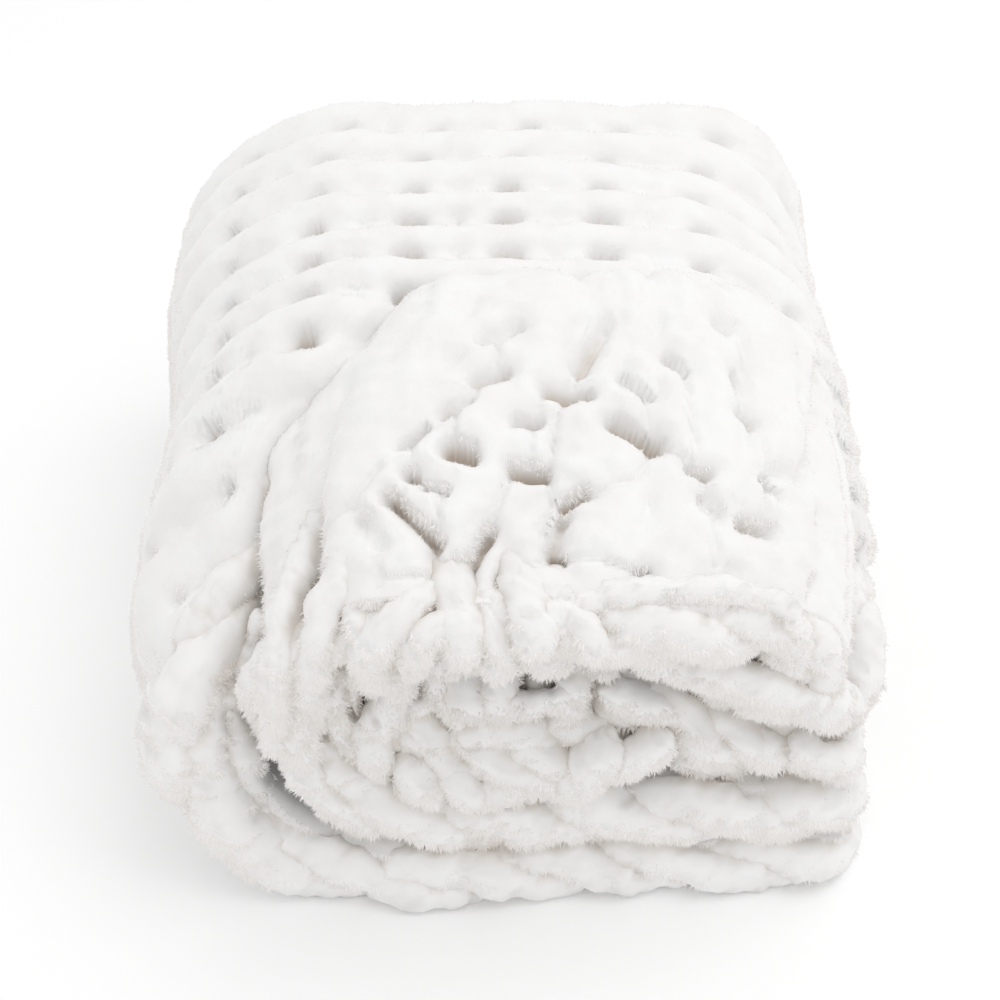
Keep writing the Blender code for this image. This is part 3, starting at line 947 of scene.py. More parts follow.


# ---- routes listed one by one --------------------------------------------------
# openings on the bare part: half as wide, deep, then places (stitch, row)
BARE_OPENINGS = (
    (6.8, 22, (9.75, 9.52), (9.90, 9.56)),
    (2.5, 9, (9.75, 9.12), (10.05, 8.92)),
    (4.3, 14, (10.15, 8.66), (10.40, 8.50)),
    (5.0, 12, (10.35, 8.09), (10.65, 7.88)),
    (4.3, 14, (9.35, 9.85), (9.35, 9.88)),
    (2.5, 8, (9.45, 9.99), (9.65, 10.05)),
    (4.3, 18, (9.15, 10.12), (9.45, 10.63)),
    (2.5, 12, (9.55, 9.30), (9.35, 9.54)),
    (4.3, 16, (9.95, 10.38), (9.60, 10.96)),
    (3.1, 16, (10.40, 9.09), (10.60, 9.07)),
    (5.6, 22, (10.30, 9.64), (10.55, 9.61)),
    (4.3, 18, (10.75, 8.69), (11.10, 8.63)),
    (5.6, 12, (11.50, 7.55), (11.10, 8.26)),
    (3.1, 12, (11.50, 8.36), (11.75, 8.51)),
    (5.6, 22, (11.30, 8.96), (11.65, 9.24)),
    (4.3, 18, (10.70, 9.99), (10.90, 9.87)),
    (5.0, 14, (10.65, 10.15), (10.50, 10.61)),
    (3.7, 20, (10.50, 10.61), (10.55, 10.65)),
    (3.1, 14, (11.90, 9.55), (12.05, 9.60)),
    (5.0, 9, (11.95, 9.90), (12.10, 10.02)),
    (5.0, 13, (12.30, 10.13), (12.55, 10.24)),
    (3.1, 13, (12.50, 8.66), (12.60, 8.78)),
    (2.5, 6, (12.60, 7.98), (12.55, 8.60)),
    (4.3, 16, (12.60, 9.57), (12.65, 9.63)),
    (6.2, 7, (12.70, 9.44), (12.95, 9.37)),
    (3.1, 16, (11.30, 10.79), (11.30, 10.90)),
    (3.1, 12, (12.00, 7.98), (12.10, 8.15)),
    (5.6, 10, (12.60, 7.37), (13.55, 5.60)),
    (3.7, 8, (13.70, 6.51), (13.65, 7.02)),
    (3.1, 10, (9.40, 10.67), (9.35, 11.31)),
    (6.2, 10, (9.60, 10.86), (9.65, 10.95)),
    (4.3, 10, (10.05, 10.71), (10.00, 10.92)),
    (5.6, 7, (8.90, 10.33), (9.00, 10.68)),
    (2.4, 4, (10.50, 8.01), (10.30, 8.58), (9.90, 9.02), (9.80, 9.45)),
    (2.4, 4, (11.50, 7.50), (10.90, 8.70), (10.75, 9.04), (10.60, 9.59), (10.55, 9.99),
     (10.40, 10.27), (10.55, 10.60)),
    (2.4, 3, (10.75, 8.64), (10.55, 9.05), (10.40, 9.59)),
    (2.4, 4, (10.30, 9.59), (10.10, 10.03), (9.95, 10.38)),
    (2.4, 3, (11.65, 8.42), (11.65, 9.18), (11.40, 9.70), (10.85, 9.94)),
    (2.4, 3, (12.10, 8.09), (12.00, 8.94), (11.95, 9.61), (12.05, 9.96),
     (11.95, 10.62)),
    (2.4, 3, (12.70, 7.91), (12.55, 8.72), (12.60, 9.57), (12.45, 10.18)),
    (2.4, 3, (9.50, 9.37), (9.35, 9.85), (9.25, 10.08)),
    (2.4, 4, (9.55, 10.03), (9.45, 10.66), (9.35, 11.31)),
    (2.4, 3, (12.75, 7.24), (12.70, 7.98)),
    (2.4, 3, (13.55, 7.04), (13.35, 8.24), (12.95, 9.31)),
    (2.4, 3, (8.85, 10.13), (8.95, 10.37), (9.00, 10.68), (8.90, 11.08)),
    (2.4, 3, (8.95, 11.07), (9.40, 10.96)),
    (2.4, 3, (10.00, 10.88), (10.50, 10.66), (10.90, 10.64), (11.30, 10.79)),
    (2.4, 3, (11.65, 9.18), (11.95, 9.61)),
    (2.4, 3, (9.15, 9.78), (8.85, 10.13), (8.45, 10.39), (8.25, 10.84)),
)

# loops crowded on the bare part's lower edge and along its left side: thickness,
# then places (stitch, row)
LIP_LOOPS = (
    (14.8, (9.00, 10.63), (9.20, 10.72)),
    (10.3, (8.70, 10.46), (8.70, 10.71)),
    (11.4, (8.65, 11.05), (8.75, 11.22)),
    (11.4, (9.00, 11.12), (9.20, 11.25)),
    (14.2, (9.55, 10.97), (9.65, 11.23)),
    (11.4, (9.70, 10.59), (9.90, 10.25)),
    (12.5, (10.20, 10.46), (10.40, 10.54)),
    (12.5, (10.10, 10.90), (10.40, 10.95)),
    (10.8, (10.75, 10.81), (11.10, 10.76)),
    (10.3, (10.80, 11.10), (10.50, 11.17)),
)

# loops packed into the heart of the roll: depth, thickness, then places (x, z)
HEART = (
    (-200, 10.8, (-68, 159), (-49, 152)),
    (-196, 8.5, (-56, 131), (-53, 118)),
    (-196, 9.2, (-78, 171), (-84, 151), (-84, 127), (-76, 100), (-69, 76)),
    (-200, 10.8, (-64, 110), (-61, 84)),
    (-206, 10.8, (-44, 83), (-33, 71)),
    (-207, 9.8, (-20, 78), (-8, 67)),
    (-206, 11.8, (-1, 69), (15, 74), (29, 78)),
    (-206, 13.8, (43, 77), (56, 98)),
    (-203, 11.7, (66, 88), (86, 101)),
    (-196, 9.7, (-43, 100), (-20, 91)),
    (-196, 11.8, (-8, 99), (8, 105), (30, 96)),
    (-194, 10.7, (39, 108), (58, 100)),
    (-190, 7.5, (-45, 122), (-34, 121)),
    (-190, 8.0, (-26, 128), (-16, 109)),
    (-192, 10.6, (4, 138), (4, 120)),
    (-186, 8.6, (23, 126), (25, 112)),
    (-190, 10.1, (42, 136), (43, 116)),
    (-186, 8.1, (61, 116), (77, 106)),
    (-206, 7.6, (-34, 169), (-22, 165), (-9, 169)),
    (-210, 8.5, (18, 179), (32, 176)),
    (-192, 8.0, (45, 158), (58, 150)),
    (-200, 11.5, (79, 169), (106, 160), (144, 140), (178, 127)),
    (-192, 9.0, (146, 160), (168, 141), (189, 121)),
    (-192, 9.7, (65, 130), (100, 109), (133, 90)),
    (-196, 8.8, (139, 100), (170, 83)),
    (-202, 10.8, (167, 96), (187, 85)),
    (-188, 9.4, (105, 77), (131, 68)),
)

# loops that hang over the bare part's lower edge and strands that run up beside
# it from the curl: thickness, then places (x, y, z)
OVER_EDGE = (
    (9.8, (-113, -206, 111), (-109, -216, 155), (-104, -218, 189), (-102, -194, 193),
     (-96, -175, 203), (-88, -146, 205)),
    (9.1, (-98, -204, 112), (-93, -214, 153), (-87, -221, 188), (-81, -212, 207),
     (-73, -199, 218), (-64, -183, 224)),
    (10.0, (-56, -200, 127), (-57, -212, 167), (-52, -226, 206), (-40, -219, 214),
     (-29, -208, 209)),
    (12.2, (-22, -188, 213), (-18, -214, 212), (-14, -226, 200)),
    (9.8, (-38, -222, 186), (-31, -226, 206), (-22, -220, 207)),
    (10.7, (11, -183, 213), (16, -213, 215), (21, -230, 207)),
    (8.8, (-69, -208, 202), (-61, -222, 204), (-58, -224, 193)),
    (8.3, (33, -200, 213), (40, -220, 211), (49, -227, 201)),
    (8.8, (-1, -214, 209), (2, -226, 200), (4, -224, 183)),
    (12.2, (-145, -172, 126), (-143, -182, 104), (-138, -190, 75), (-123, -194, 38)),
    (9.9, (-135, -196, 47), (-114, -198, 10), (-82, -198, -14)),
    (7.4, (31, -221, 214), (59, -210, 214), (93, -205, 214), (129, -199, 203),
     (149, -202, 189)),
    (6.3, (3, -196, 122), (19, -199, 130), (36, -197, 132)),
    (4.8, (-75, -190, 139), (-73, -194, 129), (-69, -192, 110)),
    (5.4, (-121, -168, 159), (-128, -176, 140), (-136, -180, 110), (-135, -184, 79)),
)


def heart_loops(mesh, seed):
    """The loops in the heart of the roll, and those that hang out over the edge."""
    for number, (depth, thick, *places) in enumerate(HEART):
        spots = np.array([(x, depth, z) for x, z in places]) * MM
        if len(spots) == 2:
            middle = (spots[0] + spots[1]) / 2 - np.array([0, LOOP_BOW, 0])
            spots = np.stack([spots[0], middle, spots[1]])
        normal = np.array([0.0, -1.0, 0.3])
        round_ended(mesh, spots, thick * MM, normal, seed + number)
    for number, (thick, *places) in enumerate(OVER_EDGE):
        normal = np.array([0.3, -0.8, 0.5])
        spots = np.array(places) * MM
        round_ended(mesh, spots, thick * MM, normal, seed + 50 + number)


def lumpy(verts, faces, size, height, seed):
    """Moves a mesh's points along its normals by uneven amounts."""
    uneven = (height * waves(verts, size, seed))[:, None]
    return verts + vertex_normals(verts, faces) * uneven


# ---- ground --------------------------------------------------------------------
GROUND = 11.5 * MM  # how far the ground lies behind the middle of the yarn
GROUND_EDGE = 10.2  # the row where it ends
GROUND_RISE = 8 * MM  # how far stitches stand out on its two faces
GROUND_HALF = 1.5 * MM  # half its thickness between them
GROUND_CROSSES = (2, 3)  # rows over which it passes through the cloth, past the fold

# ---- pile ----------------------------------------------------------------------
PILE_LENGTH = 1.9 * MM
FRINGE = 3.0 * MM  # longer where the yarn hangs
PILE_ROOT = 0.7 * MM  # half as wide as a tuft is at its root
PILE_SUNK = 0.8 * MM  # how deep its root is sunk in the yarn
PILE_CURL = 16 * MM  # how far apart tufts lean the same way
PILE_FRONT = (120 * MM, 60 * MM)  # how far before the middle the front part starts
PILE_SIDE = (165 * MM, 20 * MM)  # how far out the pile at either side starts
PILE_CLEAR = (12 * MM, 20 * MM)  # how high above the surface the front pile starts
HANGS = (0.3, 0.6)  # upward share of a normal below which yarn hangs
UPRIGHT = (0.35, 0.25)  # and below which it is upright
EDGE_ON = (0.35, 0.3)  # share of the main eye's way below which it is seen edge on
LEAN = 0.4  # how far they lean, together and each for itself
LEAN_APART = 0.3
DROOP = 0.1  # how far they droop, and how much more where the yarn hangs
FRINGE_DROOP = 0.35
FRINGED = (0.25, 0.7)  # upward share of a normal below which pile is longer
LIGHT_AND_NAP_FOR_PILE = (0.35, 0.4)  # how free of painted shade the yarn must be for pile to grow
PILE_VARIES = (0.5, 1.15)
Yarn = namedtuple("Yarn", "verts faces nap tree")
TRIES = 20000  # tufts tried at a time, and how many times at the most
MOST_TIMES = 60
CREVICE_SHADE = 0.5  # how much painted shade deep between strands, where others close a point in
CREVICE_REACH = 26 * MM  # strands that near close a point in
CREVICE_WAYS = 7  # directions looked in
CREVICE_SPREAD = 0.55
CREVICE_SHARP = 1.8
YARN_PIECES = (
    "outer_ply_knit",
    "inner_ply_knit",
    "roll_end_knit",
    "edge_chain",
    "heart_loops",
)
STRAND_PIECES = YARN_PIECES[-2:]  # those whose painted shade, and so their pile, depends on what is beside them
# places from which the pile is looked at, so that none is spent where it is hidden
MAIN_EYE = np.array([0.0, -0.83, 0.79])
OTHER_EYES = (
    np.array([-1.2, -0.5, 0.4]),
    np.array([1.2, -0.5, 0.4]),
    np.array([-1.0, 0.9, 0.5]),
    np.array([1.0, 0.9, 0.5]),
    np.array([0.0, 1.3, 0.3]),
    np.array([0.0, -1.3, 0.15]),
    np.array([0.0, 0.3, 1.4]),
)


def facing(points, normal):
    return (normal * unit(MAIN_EYE - points)).sum(1)


def in_front(points):
    return after(-points[:, 1], *PILE_FRONT)


def weigh_front(points, normal):
    """The hanging front of the bundle, clear of the surface it lies on."""
    hangs = before(normal[:, 2], *HANGS)
    clear = after(points[:, 2], *PILE_CLEAR)
    return (facing(points, normal) > -0.2) * in_front(points) * hangs * clear


def weigh_top(points, normal):
    """The outline of the rest of it at either side."""
    edge = before(facing(points, normal), *EDGE_ON)
    upright = before(normal[:, 2], *UPRIGHT) * after(np.abs(points[:, 0]), *PILE_SIDE)
    return (facing(points, normal) > -0.1) * (1 - in_front(points)) * edge * upright


def weigh_rest(points, normal):
    """Everything that is turned away from the main eye."""
    return (facing(points, normal) < -0.02) * (points[:, 2] > 10 * MM)


# name, where it grows, the eyes that look at it, its share of the tufts
PILE_ZONES = (
    ("pile_front", weigh_front, (MAIN_EYE,), 1.0),
    ("pile_top", weigh_top, (MAIN_EYE,), 0.2),
    ("pile_rest", weigh_rest, OTHER_EYES, 1.0),
)


def triangles(faces):
    """The corners of triangles that faces of three or four corners are cut into."""
    tri = []
    for f in faces:
        tri.append((f[0], f[1], f[2]))
        if len(f) == 4:
            tri.append((f[0], f[2], f[3]))
    return np.array(tri)


def tufts(yarn, weigh, eyes, count, lengths, seed):
    """Roots, the painted shade and nap there, ways and tips of pile, where one of the
    eyes can see it.
    """
    rng = np.random.default_rng(seed)
    tri = triangles(yarn.faces)
    a, b, c = (yarn.verts[tri[:, corner]] for corner in range(3))
    cross = np.cross(b - a, c - a)
    area = np.linalg.norm(cross, axis=1)
    normal = cross / np.maximum(area, 1e-12)[:, None]
    weight = area * weigh((a + b + c) / 3, normal)
    # no pile where the yarn is painted in deep shade, and less where it is in some
    weight *= after(yarn.nap[tri].min(1), *LIGHT_AND_NAP_FOR_PILE)
    weight /= weight.sum()
    roots, picks, found = [], [], 0
    for _ in range(MOST_TIMES):
        pick = rng.choice(len(tri), size=TRIES, p=weight)
        u, v = rng.random(TRIES), rng.random(TRIES)
        flip = u + v > 1
        u, v = np.where(flip, 1 - u, u)[:, None], np.where(flip, 1 - v, v)[:, None]
        root = a[pick] * (1 - u - v) + b[pick] * u + c[pick] * v
        seen = in_sight(yarn.tree, root, normal[pick], eyes)
        roots.append(root[seen])
        picks.append(pick[seen])
        found += int(seen.sum())
        if found >= count:
            break
    root, pick = np.concatenate(roots)[:count], np.concatenate(picks)[:count]
    normal = normal[pick]
    lean = np.stack([waves(root, PILE_CURL, seed + k) for k in (1, 2, 3)], 1) * LEAN
    lean += rng.normal(size=root.shape) * LEAN_APART
    hangs = before(normal[:, 2], *FRINGED)
    lean[:, 2] -= DROOP + FRINGE_DROOP * hangs
    way = unit(normal + lean)
    length, fringe = lengths
    length = (length + fringe * hangs) * rng.uniform(*PILE_VARIES, len(root))
    return root, yarn.nap[tri].mean(1)[pick], way, root + way * length[:, None]


def hit(tree, start, way, reach):
    """How far along a way a ray meets the yarn, or None."""
    return tree.ray_cast(Vector(start), Vector(way), reach)[3]


def closed_in(tree, piece):
    """How closed in each point of a piece is by yarn near it, from 0 to 1."""
    verts, faces, _ = piece
    normals = vertex_normals(verts, faces)
    rng = np.random.default_rng(61)
    start = verts + normals * 0.8 * MM
    found = np.zeros(len(verts))
    for _ in range(CREVICE_WAYS):
        way = unit(normals + rng.normal(size=normals.shape) * CREVICE_SPREAD)
        for i in range(len(verts)):
            away = hit(tree, start[i], way[i], CREVICE_REACH)
            if away is not None:
                found[i] += 1 - away / CREVICE_REACH
    return smooth(found / CREVICE_WAYS * CREVICE_SHARP)


def in_sight(tree, root, normal, eyes):
    """True for points that can be seen from at least one of the eyes."""
    seen = np.zeros(len(root), bool)
    start = root + normal * 1.2 * MM
    for eye in eyes:
        way = unit(eye - start)
        for i in np.flatnonzero(~seen & ((way * normal).sum(1) > -0.1)):
            seen[i] = hit(tree, start[i], way[i], 0.6) is None
    return seen


def spike_mesh(root, way, tip, seed):
    """Each tuft as a spike with three sides."""
    rng = np.random.default_rng(seed)
    count = len(root)
    side = unit(np.cross(way, rng.normal(size=(count, 3))))
    other = np.cross(way, side)
    size = PILE_ROOT * rng.uniform(0.7, 1.2, count)[:, None]
    low = root - way * PILE_SUNK
    ring = []
    for k in range(3):
        angle = 2 * math.pi * k / 3
        ring.append(low + (side * math.cos(angle) + other * math.sin(angle)) * size)
    verts = np.stack([*ring, tip], 1).reshape(-1, 3)
    base = np.arange(count)[:, None] * 4
    corners = ((0, 1, 3), (1, 2, 3), (2, 0, 3), (0, 2, 1))
    return verts, np.concatenate([base + f for f in corners])


# ---- finishes ------------------------------------------------------------------
PAINTED_SHADE = (0.62, 0.54, 0.46)  # painted beige shade, deep in the openings and between strands
YARN_LIGHT = (0.88, 0.875, 0.871)
YARN_SHADE = (0.855, 0.842, 0.83)
# the pile's colours are warmer and a little darker than the yarn's: painted warm shade,
# as pile grows mostly on the hanging front and on faces turned away from the main eye
PILE_LIGHT = (0.88, 0.859, 0.843)
PILE_SHADE = (0.855, 0.828, 0.806)
SHEEN = 0.4
MATT = 0.92
GLINT = 0.15
MOTTLE = 38.0  # fineness of the unevenness in colour
FIBRES = 190.0  # fineness of the fibres
FIBRE_HEIGHT = 0.8 * MM


def set_light_and_nap(piece, nap):
    """Marks painted shade, which also sets where pile grows: 1 on the yarn, lit and
    with full pile; 0 deep between stitches, fully in painted shade.
    """
    layer = piece.data.attributes.get("nap")
    if layer is None:
        layer = piece.data.attributes.new("nap", "FLOAT", "POINT")
    layer.data.foreach_set("value", np.asarray(nap, np.float32))


def noise(nodes, links, place, scale, detail):
    made_of = nodes.new("ShaderNodeTexNoise")
    made_of.inputs["Scale"].default_value = scale
    made_of.inputs["Detail"].default_value = detail
    links.new(place.outputs["Object"], made_of.inputs["Vector"])
    return made_of


def chenille(name, light, shade, sheen=0.0, fibre_height=0.0):
    """White chenille: uneven in colour, painted with beige shade deep in openings and
    between strands, matt, with a soft edge sheen.
    """
    material = bpy.data.materials.new(name)
    material.use_nodes = True
    nodes, links = material.node_tree.nodes, material.node_tree.links
    shader = nodes["Principled BSDF"]
    shader.inputs["Roughness"].default_value = MATT
    shader.inputs["Specular IOR Level"].default_value = GLINT
    shader.inputs["Sheen Weight"].default_value = sheen
    shader.inputs["Sheen Roughness"].default_value = 0.5
    place = nodes.new("ShaderNodeTexCoord")
    mottle = noise(nodes, links, place, MOTTLE, 4.0)
    ramp = nodes.new("ShaderNodeValToRGB")
    stops = zip(ramp.color_ramp.elements, (0.35, 0.6), (shade, light))
    for stop, position, colour in stops:
        stop.position = position
        stop.color = (*colour, 1)
    links.new(mottle.outputs["Fac"], ramp.inputs["Fac"])
    # painted beige shade, deep in the openings and between strands, read from a point
    # attribute
    depth = nodes.new("ShaderNodeAttribute")
    depth.attribute_name = "nap"
    mixed = nodes.new("ShaderNodeMix")
    mixed.data_type = "RGBA"
    mixed.inputs["A"].default_value = (*PAINTED_SHADE, 1)
    links.new(depth.outputs["Fac"], mixed.inputs["Factor"])
    links.new(ramp.outputs["Color"], mixed.inputs["B"])
    links.new(mixed.outputs["Result"], shader.inputs["Base Color"])
    if fibre_height:
        fibres = noise(nodes, links, place, FIBRES, 5.0)
        fibres.inputs["Roughness"].default_value = 0.6
        raised = nodes.new("ShaderNodeBump")
        raised.inputs["Strength"].default_value = 0.5
        raised.inputs["Distance"].default_value = fibre_height
        links.new(fibres.outputs["Fac"], raised.inputs["Height"])
        links.new(raised.outputs["Normal"], shader.inputs["Normal"])
    return material


# ---- settings and operators ----------------------------------------------------
def colour_setting(name, description, default):
    return bpy.props.FloatVectorProperty(
        name=name,
        description=description,
        subtype="COLOR",
        size=3,
        min=0.0,
        max=1.0,
        default=default,
    )


def length_setting(name, description, default):
    return bpy.props.FloatProperty(
        name=name,
        description=description,
        subtype="DISTANCE",
        min=0.0,
        default=default,
    )


class BlanketSettings(bpy.types.PropertyGroup):
    yarn_light: colour_setting("Yarn colour", "Most of the chenille", YARN_LIGHT)
    yarn_shade: colour_setting("Yarn shade", "Colour of its darker patches", YARN_SHADE)
    # warmer than the yarn: painted warm shade
    pile_light: colour_setting("Pile colour", "Colour of most of the tufts", PILE_LIGHT)
    pile_shade: colour_setting("Pile shade", "Colour of the darker tufts", PILE_SHADE)
    pile_length: length_setting("Pile length", "Of the tufts on top", PILE_LENGTH)
    fringe: length_setting("Fringe", "How much longer hanging tufts are", FRINGE)
    pile_count: bpy.props.IntProperty(
        name="Pile tufts",
        description="Tufts in a piece of pile; the small one at the sides has a fifth",
        default=40000,
        min=0,
    )


class StageSettings(bpy.types.PropertyGroup):
    lens: bpy.props.FloatProperty(
        name="Lens", description="Focal length in millimetres", default=62.2
    )
    elevation: bpy.props.FloatProperty(
        name="Elevation",
        description="Height of the view over the horizon",
        subtype="ANGLE",
        default=math.radians(39.8),
    )
    distance: length_setting("Distance", "To the blanket's middle", 1.0746)


made = {}  # what the operators hand on to one another


class OBJECT_OT_knit(bpy.types.Operator):
    """Knits the faces of the cloth that show, and the strands along its edges"""

    bl_idname = "object.blanket_knit"
    bl_label = "Knit"

    def execute(self, context):
        settings = context.scene.blanket
        colours = settings.yarn_light, settings.yarn_shade
        yarn = chenille("chenille yarn", *colours, SHEEN, FIBRE_HEIGHT)
        cloth = Cloth()
        made["cloth"], made["yarn"] = cloth, yarn
        self.outer(cloth, yarn)
        self.inner(cloth, yarn)
        chains, loops = Mesh(), Mesh()
        edge_chain(cloth, chains, 77)
        heart_loops(loops, 900)
        for name, mesh in zip(STRAND_PIECES, (chains, loops)):
            verts, faces = mesh.arrays()
            self.keep(name, verts, faces, faces, yarn)
        return {"FINISHED"}

    def outer(self, cloth, yarn):
        """The purl face, in one piece outside the roll and one inside it."""
        relief = Relief(
            (-1 * STITCH, (STITCHES + 1) * STITCH),
            (-12.8 * ROW_PITCH, 4.4 * ROW_PITCH),
            RELIEF_FLOOR[0],
        )
        knit(relief, PURL_SIDE, range(-13, 5), (-1, STITCHES + 1), 1000, open_outside)
        relief.soften(PURL_SOFT)
        for name, first, last, rows_in, count in (
            ("outer_ply_knit", END_INSET, INSIDE, EDGE_ROW, 211),
            ("roll_end_knit", INSIDE - 0.3, STITCHES - END_INSET, FOLD_PAST, 73),
        ):
            columns = even_columns(first, last, 20)
            points, normals, high, nap = purl_face(
                cloth, relief, columns, rows_in, count
            )
            verts, front, faces = shell(points, normals, high)
            self.keep(name, verts, front, faces, yarn, nap)

    def inner(self, cloth, yarn):
        """The knit face, shown where the inner ply is bare."""
        points, normals, high = bare_face(cloth)
        verts, front, faces = shell(points, normals, high)
        self.keep("inner_ply_knit", verts, front, faces, yarn, high)

    def keep(self, name, verts, front, faces, yarn, high=None):
        """Makes a piece; high, where it has one, says how far its front is painted in
        shade, deep in its openings, and how full its pile is.
        """
        verts = lumpy(verts, faces, *YARN_LUMPS)
        nap = np.ones(len(verts))
        if high is None:
            for lumps in STRAND_LUMPS:
                verts = lumpy(verts, faces, *lumps)
        else:
            # a little painted shade on the back, and painted shade on the front the
            # deeper it lies
            nap[:] = BACK_LIGHT_AND_NAP
            nap[: high.size] = after(high.reshape(-1), *FULL_LIGHT_AND_NAP)
        set_light_and_nap(new_object(name, verts, faces, yarn, YARN_LOWEST), nap)
        made[name] = (verts, front, nap)


class OBJECT_OT_ground_cloth(bpy.types.Operator):
    """Makes the thin ground that the stitches stand on"""

    bl_idname = "object.blanket_ground"
    bl_label = "Ground Cloth"

    def execute(self, context):
        cloth = made["cloth"]
        columns = np.linspace(0.2, STITCHES - 0.2, 176)
        low = -np.minimum(GROUND_EDGE, cloth.end_of_outer(columns))[:, None]
        stitch, row, points, normals = face_grid(cloth, columns, low, GROUND_EDGE, 160)
        # on either ply it lies on the side that faces the inside of the roll
        level = (GROUND * (2 * after(row, *GROUND_CROSSES) - 1))[:, :, None]
        stitches = 0.65 + 0.35 * np.cos(2 * math.pi * stitch)
        rise = np.abs(np.cos(math.pi * row)) * stitches - 0.35
        thick = (GROUND_HALF + GROUND_RISE * np.maximum(rise, 0))[:, :, None]
        over = (points + normals * (level + thick)).reshape(-1, 3)
        under = (points + normals * (level - thick)).reshape(-1, 3)
        n, m = points.shape[:2]
        count = n * m
        faces = grid_faces(n, m)
        faces += [tuple(count + v for v in f[::-1]) for f in faces]
        rim = [i * m for i in range(n)] + [(n - 1) * m + k for k in range(1, m)]
        rim += [i * m + m - 1 for i in range(n - 2, -1, -1)]
        rim += [k for k in range(m - 2, 0, -1)]
        for a, b in zip(rim, rim[1:] + rim[:1]):
            faces.append((b, a, a + count, b + count))
        verts = np.concatenate([over, under])
        ground = new_object("ground_cloth", verts, faces, made["yarn"], GROUND_LOWEST)
        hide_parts(NODE)
        # the ground takes the little painted shade of the shells' backs
        set_light_and_nap(ground, np.full(len(verts), BACK_LIGHT_AND_NAP))
        made["ground"] = ground
        return {"FINISHED"}


class OBJECT_OT_pile(bpy.types.Operator):
    """Raises the pile on the yarn"""

    bl_idname = "object.blanket_pile"
    bl_label = "Pile"

    def execute(self, context):
        settings = context.scene.blanket
        lengths = settings.pile_length, settings.fringe
        pile = chenille("chenille pile", settings.pile_light, settings.pile_shade)
        yarn = self.all_yarn()
        for number, (name, weigh, eyes, share) in enumerate(PILE_ZONES):
            count = int(settings.pile_count * share)
            if not count:
                continue
            seed = 31 * number
            root, nap, way, tip = tufts(yarn, weigh, eyes, count, lengths, seed)
            spikes, sides = spike_mesh(root, way, tip, number)
            piece = new_object(name, spikes, sides.tolist(), pile, PILE_LOWEST)
            piece.data.shade_flat()
            # pile is too thin to dim the yarn below
            piece.visible_diffuse = False
            piece.visible_shadow = number == 0
            # each tuft takes the painted shade at its root
            set_light_and_nap(piece, np.repeat(nap, 4))
        return {"FINISHED"}

    def all_yarn(self):
        """All the yarn together, once its strands are painted in shade, with less pile,
        where other strands are near.
        """
        verts, faces, full, start = [], [], [], 0
        for name in YARN_PIECES:
            more, sides, nap = made[name]
            verts.append(more)
            faces += [tuple(i + start for i in face) for face in sides]
            full.append(nap)
            start += len(more)
        verts = np.concatenate(verts)
        tree = BVHTree.FromPolygons(verts.tolist(), faces)
        for number, name in enumerate(YARN_PIECES):
            if name in STRAND_PIECES:
                # painted shade where other strands close a point in
                full[number] = 1 - CREVICE_SHADE * closed_in(tree, made[name])
                set_light_and_nap(bpy.data.objects[name], full[number])
        return Yarn(verts, faces, np.concatenate(full), tree)


# ---- stage ---------------------------------------------------------------------
FLOOR_SIZE = 12.0
FLOOR_COLOUR = (0.98, 0.98, 0.98)
SKY = 0.895  # strength of the light from all round
KEY_PLACE = (0.9, 0.0, 2.55)
KEY_AIM = (0.0, 0.0, 0.1)
KEY_SIZE = 2.0
KEY_POWER = 15.5
VIEW_AIM = (0.0041, 0.0, 0.1002)


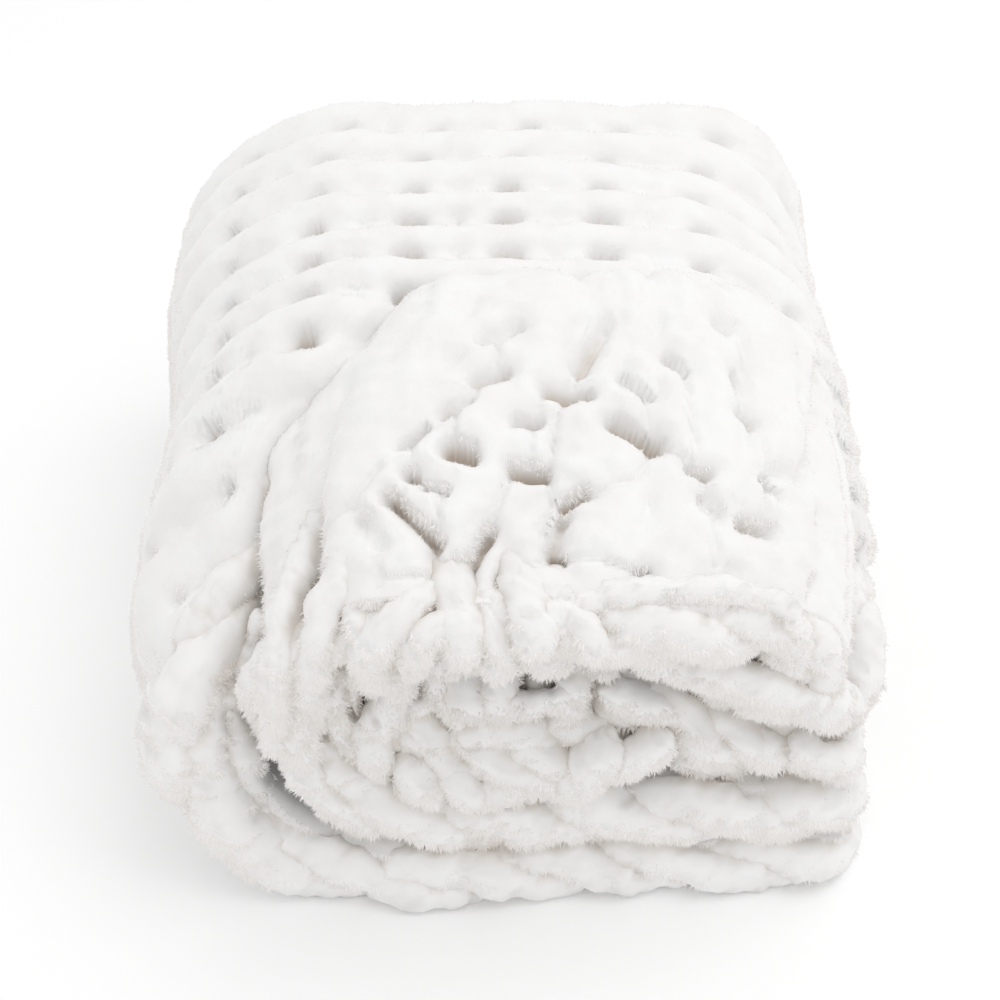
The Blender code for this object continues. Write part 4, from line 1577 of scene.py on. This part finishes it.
class OBJECT_OT_blanket_stage(bpy.types.Operator):
    """Lays the floor and sets the lights and the camera"""

    bl_idname = "object.blanket_stage"
    bl_label = "Stage"

    def execute(self, context):
        settings = context.scene.blanket_stage
        bpy.ops.object.select_all(action="DESELECT")
        bpy.ops.mesh.primitive_plane_add(size=FLOOR_SIZE, location=(0, 0, 0))
        floor = context.active_object
        floor.name = "floor"
        paint = bpy.data.materials.new("pale floor")
        paint.use_nodes = True
        shader = paint.node_tree.nodes["Principled BSDF"]
        shader.inputs["Base Color"].default_value = (*FLOOR_COLOUR, 1)
        shader.inputs["Roughness"].default_value = 0.9
        floor.data.materials.append(paint)
        world = bpy.data.worlds.new("studio")
        world.use_nodes = True
        sky = world.node_tree.nodes["Background"]
        sky.inputs["Color"].default_value = (1.0, 1.0, 1.0, 1)
        sky.inputs["Strength"].default_value = SKY
        context.scene.world = world
        context.scene.view_settings.view_transform = "Standard"
        key = bpy.data.lights.new("key", "AREA")
        key.size, key.energy = KEY_SIZE, KEY_POWER
        self.put(context, key, Vector(KEY_PLACE), Vector(KEY_AIM))
        camera = bpy.data.cameras.new("camera")
        camera.lens = settings.lens
        back, up = math.cos(settings.elevation), math.sin(settings.elevation)
        place = Vector(VIEW_AIM) + Vector((0, -back, up)) * settings.distance
        context.scene.camera = self.put(context, camera, place, Vector(VIEW_AIM))
        return {"FINISHED"}

    def put(self, context, data, place, aim):
        """Puts a lamp or a camera at a place and turns it to its aim."""
        added = bpy.data.objects.new(data.name, data)
        added.location = place
        added.rotation_euler = (aim - place).to_track_quat("-Z", "Y").to_euler()
        context.scene.collection.objects.link(added)
        return added


class VIEW3D_PT_blanket(bpy.types.Panel):
    """Lists the blanket's settings and its makers"""

    bl_label = "Blanket"
    bl_space_type = "VIEW_3D"
    bl_region_type = "UI"
    bl_category = "Blanket"

    def draw(self, context):
        layout = self.layout
        for group in (context.scene.blanket, context.scene.blanket_stage):
            for name in group.bl_rna.properties.keys():
                if name not in ("rna_type", "name"):
                    layout.prop(group, name)
        for maker in MAKERS:
            layout.operator(maker.bl_idname)


MAKERS = (
    OBJECT_OT_knit,
    OBJECT_OT_ground_cloth,
    OBJECT_OT_pile,
    OBJECT_OT_blanket_stage,
)
CLASSES = (BlanketSettings, StageSettings, *MAKERS, VIEW3D_PT_blanket)


def register():
    for each in CLASSES:
        bpy.utils.register_class(each)
    bpy.types.Scene.blanket = bpy.props.PointerProperty(type=BlanketSettings)
    bpy.types.Scene.blanket_stage = bpy.props.PointerProperty(type=StageSettings)


def unregister():
    del bpy.types.Scene.blanket_stage
    del bpy.types.Scene.blanket
    for each in reversed(CLASSES):
        bpy.utils.unregister_class(each)


def declare():
    """Gathers the yarn and pile pieces of the cloth into a list, once all are made."""
    pieces = [o for o in bpy.data.objects if o.name in YARN_PIECES]
    pieces += [o for o in bpy.data.objects if o.name.startswith("pile_")]


def main():
    register()
    bpy.ops.object.select_all(action="DESELECT")
    bpy.ops.object.blanket_knit()
    bpy.ops.object.blanket_ground()
    bpy.ops.object.blanket_pile()
    bpy.ops.object.blanket_stage()
    declare()


if __name__ == "__main__":
    main()
